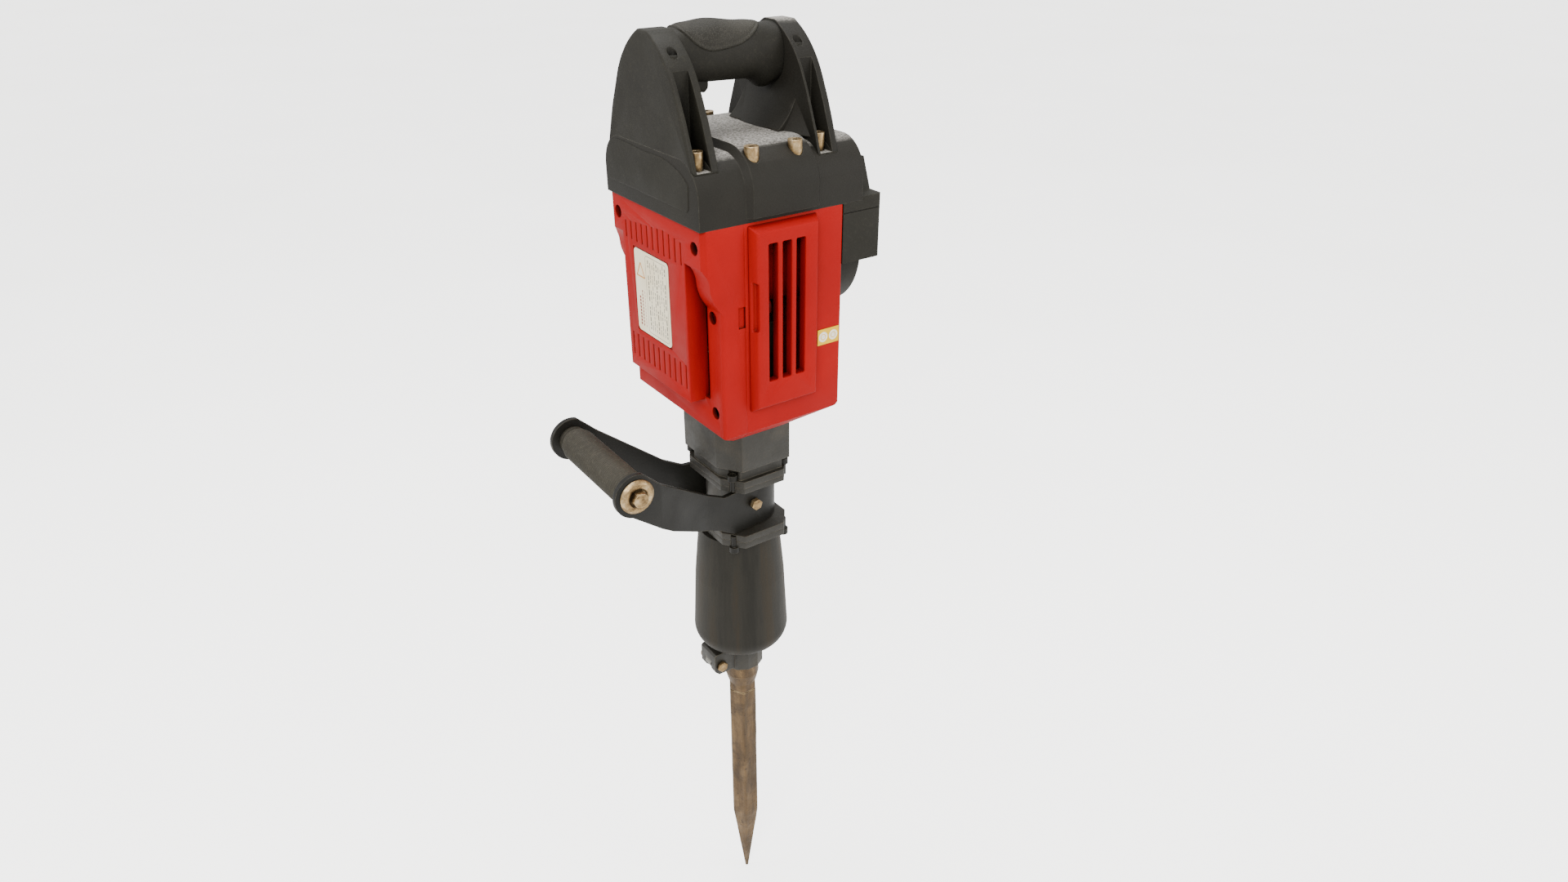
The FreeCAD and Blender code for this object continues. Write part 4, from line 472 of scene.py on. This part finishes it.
def slab(work, top, under):
    """Closes two grids of vertices of the same size into one thick sheet."""
    rows, across = len(top), len(top[0])
    for i in range(rows - 1):
        for j in range(across - 1):
            work.faces.new((top[i][j], top[i + 1][j], top[i + 1][j + 1], top[i][j + 1]))
            work.faces.new((under[i][j], under[i][j + 1], under[i + 1][j + 1], under[i + 1][j]))
    for i in range(rows - 1):
        for j in (0, across - 1):
            work.faces.new((top[i][j], under[i][j], under[i + 1][j], top[i + 1][j]))
    for j in range(across - 1):
        for i in (0, rows - 1):
            work.faces.new((top[i][j], top[i][j + 1], under[i][j + 1], under[i][j]))


def rim(work, front, back):
    """Joins two loops of vertices of the same length by a band of faces."""
    for i in range(len(front)):
        after = (i + 1) % len(front)
        work.faces.new((front[i], front[after], back[after], back[i]))


# ---- label and sticker -----------------------------------------------------------------------

GREY_INK, ORANGE_INK, RED_INK = 1, 2, 3


def ink_face(work, corners, index, x):
    """A flat face of ink at height x through (y, z) corners, all in mm."""
    face = work.faces.new([work.verts.new((x / MM, y / MM, z / MM)) for y, z in corners])
    face.material_index = index


def print_quads(work, quads, index, x):
    """Flat rectangles of ink on the label: each is centre y, centre z, width, height in mm."""
    for y, z, wide, tall in quads:
        corners = [(y + wide / 2, z - tall / 2), (y - wide / 2, z - tall / 2),
                   (y - wide / 2, z + tall / 2), (y + wide / 2, z + tall / 2)]
        ink_face(work, corners, index, x)


def stroke(work, start, end, width, index, x):
    """A thin straight line of ink between two (y, z) points."""
    (y0, z0), (y1, z1) = start, end
    length = math.hypot(y1 - y0, z1 - z0)
    across = (-(z1 - z0) / length * width / 2, (y1 - y0) / length * width / 2)
    corners = [(y0 + across[0], z0 + across[1]), (y0 - across[0], z0 - across[1]),
               (y1 - across[0], z1 - across[1]), (y1 + across[0], z1 + across[1])]
    ink_face(work, corners, index, x)


def rounded_corners(low, high, radius, steps=6):
    """Corners of a rounded rectangle between two (y, z) points, in order."""
    points = []
    centres = ((high[0] - radius, high[1] - radius, 0), (low[0] + radius, high[1] - radius, 90),
               (low[0] + radius, low[1] + radius, 180), (high[0] - radius, low[1] + radius, 270))
    for y, z, start in centres:
        for i in range(steps + 1):
            turn = math.radians(start + 90 * i / steps)
            points.append((y + radius * math.cos(turn), z + radius * math.sin(turn)))
    return points


def label_dashes(far, foot, head):
    """Rows of upright dashes in place of text, as (y, z, width, height) in mm."""
    row_count, row_step, first_row, gap = 9, 3.7, 24.5, 1.1
    shortest, spread, thin, thick = 2.2, 3.1, 0.9, 1.5
    dashes = []
    for row in range(row_count):
        y = far - first_row - row * row_step
        z = foot + 7.0
        step = 0
        while z < head - 8:
            tall = shortest + spread * ((row * 7 + step * 5) % 4) / 3
            if (row * 3 + step) % 6 != 5:
                dashes.append((y, z + tall / 2, thin if row % 4 else thick, tall))
            z += tall + gap
            step += 1
    return dashes


def label():
    """Cream rating plate: a thin film with a border, a plain triangle and rows of grey dashes."""
    low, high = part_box("rating_label")
    near, far = low.y * MM, high.y * MM
    foot, head = low.z * MM, high.z * MM
    film, overlap, corner, ink_rise = 0.12, 0.0004, 4.0, 0.04
    face_x = low.x * MM - film
    work = bmesh.new()
    loop = rounded_corners((near, foot), (far, head), corner)
    front = [work.verts.new((face_x / MM, y / MM, z / MM)) for y, z in loop]
    back = [work.verts.new((low.x + overlap, y / MM, z / MM)) for y, z in loop]
    work.faces.new(front[::-1])
    rim(work, front, back)
    ink = face_x - ink_rise
    border = rounded_corners((near + 3, foot + 3), (far - 20, head - 3), 3.0)
    border_width, triangle_width = 0.35, 1.2
    for i, point in enumerate(border):
        stroke(work, point, border[(i + 1) % len(border)], border_width, GREY_INK, ink)
    peak, left, right = (far - 10.5, head - 12), (far - 3.5, head - 25), (far - 17.5, head - 25)
    for start, end in ((peak, left), (left, right), (right, peak)):
        stroke(work, start, end, triangle_width, ORANGE_INK, ink)
    print_quads(work, label_dashes(far, foot, head), GREY_INK, ink)
    red_dashes = [(far - 7.0 - 4.4 * i, foot + 6 + 3.2 * j + 1.2, 2.4 - i * 0.9, 2.3)
                  for i in range(3) for j in range(9 if i == 0 else 11)]
    print_quads(work, red_dashes, RED_INK, ink)
    mesh = finished(work, "rating_plate", outward=False, smooth=False)
    made = add_object("rating_plate", mesh, "hammer", "cream_label", "rating_label")
    for name, dark, light in (("grey_ink", (128, 124, 114), (158, 154, 142)),
                              ("orange_ink", (226, 168, 62), (240, 188, 90)),
                              ("red_ink", (158, 74, 62), (178, 96, 82))):
        made.data.materials.append(plain(name, dark, light, 400.0, 0.5, 0.0, 0.05))


def disc(work, x, z, y, radius, index, inner=0.0):
    """A flat disc of ink facing -Y, or a ring where there is an inner radius, in metres."""
    steps = 40
    outer_ring, inner_ring = [], []
    for i in range(steps):
        turn = 2 * math.pi * i / steps
        outer_ring.append(work.verts.new((x + radius * math.cos(turn), y, z + radius * math.sin(turn))))
        if inner:
            inner_ring.append(work.verts.new((x + inner * math.cos(turn), y, z + inner * math.sin(turn))))
    if not inner:
        work.faces.new(outer_ring).material_index = index
        return
    for i in range(steps):
        after = (i + 1) % steps
        face = work.faces.new((outer_ring[i], outer_ring[after], inner_ring[after], inner_ring[i]))
        face.material_index = index


def sticker():
    """Yellow film with two pale discs, each holding a plain ring mark."""
    low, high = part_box("lock_sticker")
    film, sunk, ink_rise = 0.0001, 0.00005, 0.00004
    end_gap, disc_radius, ring_radius, ring_inner = 0.0062, 0.0048, 0.0029, 0.0022
    yellow, white = 0, 1
    work = bmesh.new()
    y = low.y - film
    corners = [(low.x, low.z), (high.x, low.z), (high.x, high.z), (low.x, high.z)]
    front = [work.verts.new((x, y, z)) for x, z in corners]
    back = [work.verts.new((x, high.y - sunk, z)) for x, z in corners]
    work.faces.new(front)
    rim(work, front, back)
    middle_z = (low.z + high.z) / 2
    for x in (low.x + end_gap, high.x - end_gap):
        disc(work, x, middle_z, y - ink_rise, disc_radius, white)
        disc(work, x, middle_z, y - 2 * ink_rise, ring_radius, yellow, inner=ring_inner)
    mesh = finished(work, "round_mark_sticker", smooth=False)
    made = add_object("round_mark_sticker", mesh, "hammer", "yellow_film", "lock_sticker")
    made.data.materials.append(plain("white_ink", (238, 234, 222), (248, 246, 238), 300.0, 0.5, 0.0, 0.05))


# ---- top grip --------------------------------------------------------------------------------

def eased(x, stops):
    """Smooth interpolation through (x, value) stops."""
    if x <= stops[0][0]:
        return stops[0][1]
    for (x0, v0), (x1, v1) in zip(stops, stops[1:]):
        if x <= x1:
            share = (x - x0) / (x1 - x0)
            share = share * share * (3 - 2 * share)
            return v0 + (v1 - v0) * share
    return stops[-1][1]


def grip_point(x, turn, proud=0.0):
    """A point of the grip's surface in mm. turn is 0 at the top and grows towards -Y."""
    centre = eased(x, [(-58, 641), (-22, 641.5), (12, 639.5), (44, 637)])
    tall = eased(x, [(-58, 19.8), (-40, 22.5), (-20, 23.8), (14, 22.4), (32, 22.2), (44, 23.6)])
    wide = eased(x, [(-58, 18.8), (-24, 21.8), (14, 20.6), (44, 22.0)])
    sine, cosine = math.sin(turn), math.cos(turn)
    square = 2.35
    reach = (abs(sine) ** square + abs(cosine) ** square) ** (-1 / square)
    below = max(0.0, -cosine) ** 1.5
    guard_x, guard_spread, guard_drop = 31, 9.5, 7.5
    drop = guard_drop * math.exp(-((x - guard_x) / guard_spread) ** 2) * below
    return (x, -(wide + proud) * reach * sine, centre + (tall + proud) * reach * cosine - drop)


def sweep(name, stations, around, point):
    """A closed mesh through rings of points: stations along, around steps about each ring."""
    work = bmesh.new()
    rings = []
    for station in stations:
        rings.append([work.verts.new([v / MM for v in point(station, i / around)]) for i in range(around)])
    for first, second in zip(rings, rings[1:]):
        rim(work, first, second)
    work.faces.new(rings[0][::-1])
    work.faces.new(rings[-1])
    return finished(work, name)


def grip_body():
    """Moulded top grip with a finger guard."""
    left, length, steps, around = -56.5, 100.0, 60, 72
    stations = [left + length * i / steps for i in range(steps + 1)]

    def skin(x, share):
        """A point on the grip at a share of the full turn."""
        return grip_point(x, share * 2 * math.pi)

    mesh = sweep("grip_body", stations, around, skin)
    add_object("grip_body", mesh, "hammer", "black_plastic", "top_grip")


def grip_cover():
    """The pebbled pad over the grip, with a rounded rim and a shallow groove inside it."""
    rows, across = 110, 81
    left, length, sunk = -51, 78, -0.5
    rim_width, rim_rise, groove_in, groove_width, groove_depth = 1.6, 1.3, 3.2, 1.1, 0.5
    turn_width, row_width = 20, 0.71  # mm for a radian round the grip, and for a step along it

    def edge(x):
        """How far round the pad reaches at each station, in radians."""
        middle, half = -12.0, 39.5
        share = max(0.0, 1 - abs((x - middle) / half) ** 2.6)
        return 0.12 + (1.62 - 0.0085 * (x - left)) * share ** 0.6

    work = bmesh.new()
    top, under = [], []
    for i in range(rows):
        x = left + length * i / (rows - 1)
        limit = edge(x)
        upper, lower = [], []
        for j in range(across):
            side = 2 * j / (across - 1) - 1
            inside = min((1 - abs(side)) * limit * turn_width, i * row_width, (rows - 1 - i) * row_width)
            shoulder = min(1.0, inside / rim_width)
            groove = groove_depth * math.exp(-((inside - groove_in) / groove_width) ** 2)
            proud = rim_rise * math.sqrt(max(0.0, 1 - (1 - shoulder) ** 2)) - groove
            upper.append(work.verts.new([v / MM for v in grip_point(x, side * limit, proud)]))
            lower.append(work.verts.new([v / MM for v in grip_point(x, side * limit, sunk)]))
        top.append(upper)
        under.append(lower)
    slab(work, top, under)
    add_object("grip_cover", finished(work, "grip_cover"), "hammer", "soft_grip", "grip_pad")


# ---- chisel ----------------------------------------------------------------------------------

def chisel():
    """Forged point chisel: hexagonal bar with a hand-forged wobble, a collar and a drawn point."""
    heights = (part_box("chisel")[0].z * MM, -230.0, -46.0, -40.5, -39.0, -34.0, -30.0, -16.0, -2.0)
    tip, taper, groove, groove_low, groove_high, neck, cone, collar, top = heights
    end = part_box("chisel")[1].z * MM
    half, tip_half, groove_depth = 14.3, 1.6, 0.9
    cone_low, cone_swell, collar_radius, corner_limit = 14.8, 3.7, 18.4, 1.128
    notch_top, notch_plane = 50, -12.5
    wobble_scale, wobble, dent = 0.045, 0.30, 0.12

    def size_at(z):
        """Half the distance across flats, and how round the section is."""
        if z < taper:
            return tip_half + (half - tip_half) * (z - tip) / (taper - tip), 0.0
        if z < groove_low:
            return half, 0.0
        if z < groove_high:
            return half - groove_depth, 0.35
        if z < neck:
            return half, 0.15
        if z < cone:
            share = (z - neck) / (cone - neck)
            return half + 0.5 * share, 0.15 + 0.85 * share
        if z < collar:
            return cone_low + cone_swell * ((z - cone) / (collar - cone)) ** 0.8, 1.0
        if z < top:
            return collar_radius, 1.0
        return half, 0.0

    def skin(z, share):
        """A point on the bar, with the forged part uneven and the shank notched."""
        turn = share * 2 * math.pi
        reach, roundness = size_at(z)
        sector = (turn % (math.pi / 3)) - math.pi / 6
        radius = reach * ((1 - roundness) * min(1 / math.cos(sector), corner_limit) + roundness)
        if z < top:
            place = Vector((math.cos(turn) * 2.2, math.sin(turn) * 2.2, z * wobble_scale))
            radius += wobble * noise.noise(place) * min(1.0, reach / 10)
            radius += dent * noise.noise(place * 4.0)
        x, y = radius * math.cos(turn), radius * math.sin(turn)
        if 0 < z < notch_top:
            x = max(x, notch_plane)
        return (x, y, z)

    step = 0.01  # a section changes between two stations this far apart
    stations = [tip + (taper - tip) * i / 40 for i in range(41)]
    stations += [taper + (groove - taper) * i / 70 for i in range(1, 71)]
    stations += [groove_low - step, groove_low, groove_high - step, groove_high, neck, neck + 2]
    stations += [cone - step, cone, cone + 3, cone + 7, collar - step, collar, collar + 1]
    stations += [-4.0, top - 0.6, top - step, top, -step, step, 25.0]
    stations += [notch_top - step, notch_top + step, end - 1.5, end]
    mesh = sweep("point_chisel", stations, 96, skin)
    made = add_object("point_chisel", mesh, "chisel_group", "worn_steel", "chisel")
    sharpen(made, 35.0)


# ---- cap, uprights and side handle -----------------------------------------------------------

def plate(name, outline, x_face, depth):
    """A thin plastic plate on the -X side: its (y, z) outline in mm, with a rolled outer edge."""
    edge = 0.0006
    work = bmesh.new()
    front = [work.verts.new((x_face / MM, y / MM, z / MM)) for y, z in outline]
    back = [work.verts.new(((x_face + depth) / MM, y / MM, z / MM)) for y, z in outline]
    face = work.faces.new(front)
    rim(work, front, back)
    bmesh.ops.recalc_face_normals(work, faces=work.faces)
    bmesh.ops.bevel(work, geom=list(face.edges), offset=edge, segments=3, affect="EDGES", profile=0.6)
    mesh = finished(work, name, outward=False)
    sharpen(add_object(name, mesh, "hammer", "black_plastic"), 40.0)


def smooth_run(points):
    """A Catmull-Rom curve through open points."""
    steps = 8
    run = []
    padded = [points[0], *points, points[-1]]
    for a, b, c, e in zip(padded, padded[1:], padded[2:], padded[3:]):
        for i in range(steps):
            s = i / steps
            run.append(tuple(0.5 * (2 * q + (r - p) * s + (2 * p - 5 * q + 4 * r - w) * s * s
                                    + (3 * q - p - 3 * r + w) * s ** 3)
                             for p, q, r, w in zip(a, b, c, e)))
    run.append(points[-1])
    return run


def cap_panel():
    """Raised panel on the gear side of the cap, under the arch of the left upright."""
    crest = smooth_run([(-64.5, 553.5), (-51, 561.5), (-26, 567.5), (9, 567.5), (38, 569.0),
                        (58, 568.0), (69, 562.0), (74, 549.0)])
    outline = [(72, 531.2), (-60.5, 531.2), (-63.5, 534.0), *crest]
    plate("cap_side_panel", outline, -80.7, 0.9)


def upright_flare():
    """The right upright's foot spreading over the crown, under the grip."""
    rows, across = 36, 48
    low, high, back_x, inner_x, weld = 576.5, 628.0, 0.0435, 42.9, 0.00001
    narrow, spread, reach_out, edge_drop = 14, 46, 21.5, 1.5

    def surface(level, share):
        """A point of the flare: level 0 at the foot and 1 at the top, share across it."""
        z = low + (high - low) * level
        fall = 1 - level
        half = narrow + spread * fall ** 0.8
        side = 2 * share - 1
        reach = reach_out * fall ** 2.1 * (1 - abs(side) ** 2.4)
        slope = edge_drop * fall * abs(side) ** 2
        return (inner_x - reach, side * half, z - slope)

    work = bmesh.new()
    grid = [[work.verts.new([v / MM for v in surface(i / (rows - 1), j / (across - 1))])
             for j in range(across)] for i in range(rows)]
    back = [[work.verts.new((back_x, vertex.co.y, vertex.co.z)) for vertex in row] for row in grid]
    slab(work, grid, back)
    bmesh.ops.remove_doubles(work, verts=work.verts, dist=weld)
    mesh = finished(work, "upright_flare")
    sharpen(add_object("upright_flare", mesh, "hammer", "black_plastic", look=CAP_LOOK), 40.0)


def ribbed_grip():
    """Side grip: a rubber tube swelling towards its middle, ribbed all the way between two collars."""
    low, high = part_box("side_grip")
    middle, half = (low + high) * (MM / 2), (high.y - low.y) * (MM / 2)
    bore, end_radius, collar_radius, neck_radius = 5.1, 13.4, 13.9, 13.0
    end_width, collar_in, neck_in = 0.4, 5.0, 6.5
    tube_radius, swell_rise, swell_run, rib_rise, rib_pitch = 14.0, 2.1, 9.0, 0.32, 2.3

    def radius_at(y):
        """The outer radius at a distance along the grip."""
        away = abs(y)
        if away > half - end_width:
            return end_radius
        if away > half - collar_in:
            return collar_radius
        if away > half - neck_in:
            return neck_radius
        swell = tube_radius + swell_rise * min(1.0, (half - neck_in - away) / swell_run)
        return swell + rib_rise * math.sin(away * 2 * math.pi / rib_pitch)

    def skin(y, share):
        """A point on the grip, or on its bore at the stations past each end."""
        turn = share * 2 * math.pi
        reach = radius_at(y) if abs(y) <= half else bore
        along = max(-half, min(half, y))
        return (middle.x + reach * math.cos(turn), along, middle.z + reach * math.sin(turn))

    count, around = 380, 64
    stations = [half * (2 * i / count - 1) for i in range(count + 1)]
    mesh = sweep("ribbed_side_grip", [-half - 1, *stations, half + 1], around, skin)
    slot = SLOT_OF["side_grip"]
    made = add_object("ribbed_side_grip", mesh, "side_handle", slot, "side_grip", look=RIB_LOOK)
    sharpen(made, 50.0)


def skins():
    """Rolled-edge skins over the castings and mouldings that show."""
    plated = MATERIALS["yellow_zinc"]
    for node, body, width, look in (
        ("main_housing", "hammer", 0.0012, None), ("gear_cover", "hammer", 0.0014, None),
        ("front_grille", "hammer", 0.0012, None), ("rear_grille", "hammer", 0.0012, None),
        ("top_cap", "hammer", 0.0016, CAP_LOOK), ("left_upright", "hammer", 0.0020, None),
        ("right_upright", "hammer", 0.0020, CAP_LOOK), ("rear_cover", "hammer", 0.0018, None),
        ("crankcase", "hammer", 0.0020, None), ("neck_column", "hammer", 0.0010, None),
        ("front_cover", "hammer", 0.0010, None), ("retainer_ring", "hammer", 0.0012, None),
        ("side_strap", "side_handle", 0.0008, None), ("trigger", "trigger_group", 0.0008, None),
        ("side_washers", "side_handle", 0.0005, None), ("side_bolts", "side_handle", 0.0006, None),
        ("cap_screws", "hammer", 0.0006, None), ("clamp_screw", "side_handle", 0.0005, plated),
        ("retainer_pin", "retainer", 0.0005, plated),
    ):
        softened(node, body, width, look=look)


# ---- floor, light and camera -----------------------------------------------------------------

def floor_material():
    """Pale, faintly warm studio floor with a very soft mottling, brighter to the camera than it lights."""
    floor_glow = 2.6
    look = Look("studio_floor")
    colour = look.ramp(look.noise(1.5, 4.0), (0.3, (0.90, 0.895, 0.88, 1.0)),
                       (0.7, (0.93, 0.925, 0.915, 1.0)))
    look.bump(look.noise(60.0, 3.0), 0.05, 0.0005)
    material = look.finish(colour, 0.9, specular=0.1)
    seen = look.node("ShaderNodeLightPath").outputs["Is Camera Ray"]
    look.join(colour, look.surface.inputs["Emission Color"])
    look.join(look.calc(seen, floor_glow, "MULTIPLY"), look.surface.inputs["Emission Strength"])
    return material


def stage_floor():
    """A wide floor just under the chisel's point."""
    gap, reach = 0.0005, 30.0
    low = CAD_BOX[0][2] - gap
    mesh = bpy.data.meshes.new("studio_floor")
    corners = [(-reach, -reach, low), (reach, -reach, low), (reach, reach, low), (-reach, reach, low)]
    mesh.from_pydata(corners, [], [(0, 1, 2, 3)])
    floor = bpy.data.objects.new("studio_floor", mesh)
    bpy.context.scene.collection.objects.link(floor)
    mesh.materials.append(floor_material())


def area_light(name, place, aim, power, width, tint=(1.0, 1.0, 1.0)):
    """A square soft light at a place, turned to face the aim."""
    data = bpy.data.lights.new(name, "AREA")
    data.energy = power
    data.size = width
    data.color = tint
    lamp = bpy.data.objects.new(name, data)
    lamp.location = place
    lamp.rotation_euler = (Vector(aim) - Vector(place)).to_track_quat("-Z", "Y").to_euler()
    bpy.context.scene.collection.objects.link(lamp)


def studio():
    """An even pale surround and four soft lights."""
    world = bpy.data.worlds.new("studio")
    world.use_nodes = True
    world.node_tree.nodes["Background"].inputs["Color"].default_value = (1.0, 0.995, 0.985, 1.0)
    world.node_tree.nodes["Background"].inputs["Strength"].default_value = 1.0
    bpy.context.scene.world = world
    centre = (0.0, 0.0, 0.3)
    area_light("key", (-1.4, -1.6, 1.9), centre, 62.0, 1.2, (1.0, 0.985, 0.95))
    area_light("fill", (1.7, -1.9, 1.0), centre, 34.0, 1.6)
    area_light("top", (0.1, 0.3, 2.2), centre, 40.0, 1.4)
    area_light("rim", (-1.8, 1.2, 1.2), centre, 18.0, 1.0)


def camera():
    """The viewing position: above the object and turned to the left of its front."""
    down, round_left = 28.45, 35.25
    data = bpy.data.cameras.new("camera")
    data.lens = 24.44
    data.sensor_width = 36.0
    view = bpy.data.objects.new("camera", data)
    view.location = (-0.4970, -0.7845, 0.7753)
    view.rotation_euler = (math.radians(90 - down), 0.0, math.radians(-round_left))
    bpy.context.scene.collection.objects.link(view)
    bpy.context.scene.camera = view


# ---- the whole scene -------------------------------------------------------------------------

dress_nodes()
label()
sticker()
grip_body()
grip_cover()
chisel()
skins()
cap_panel()
upright_flare()
ribbed_grip()
stage_floor()
studio()
camera()
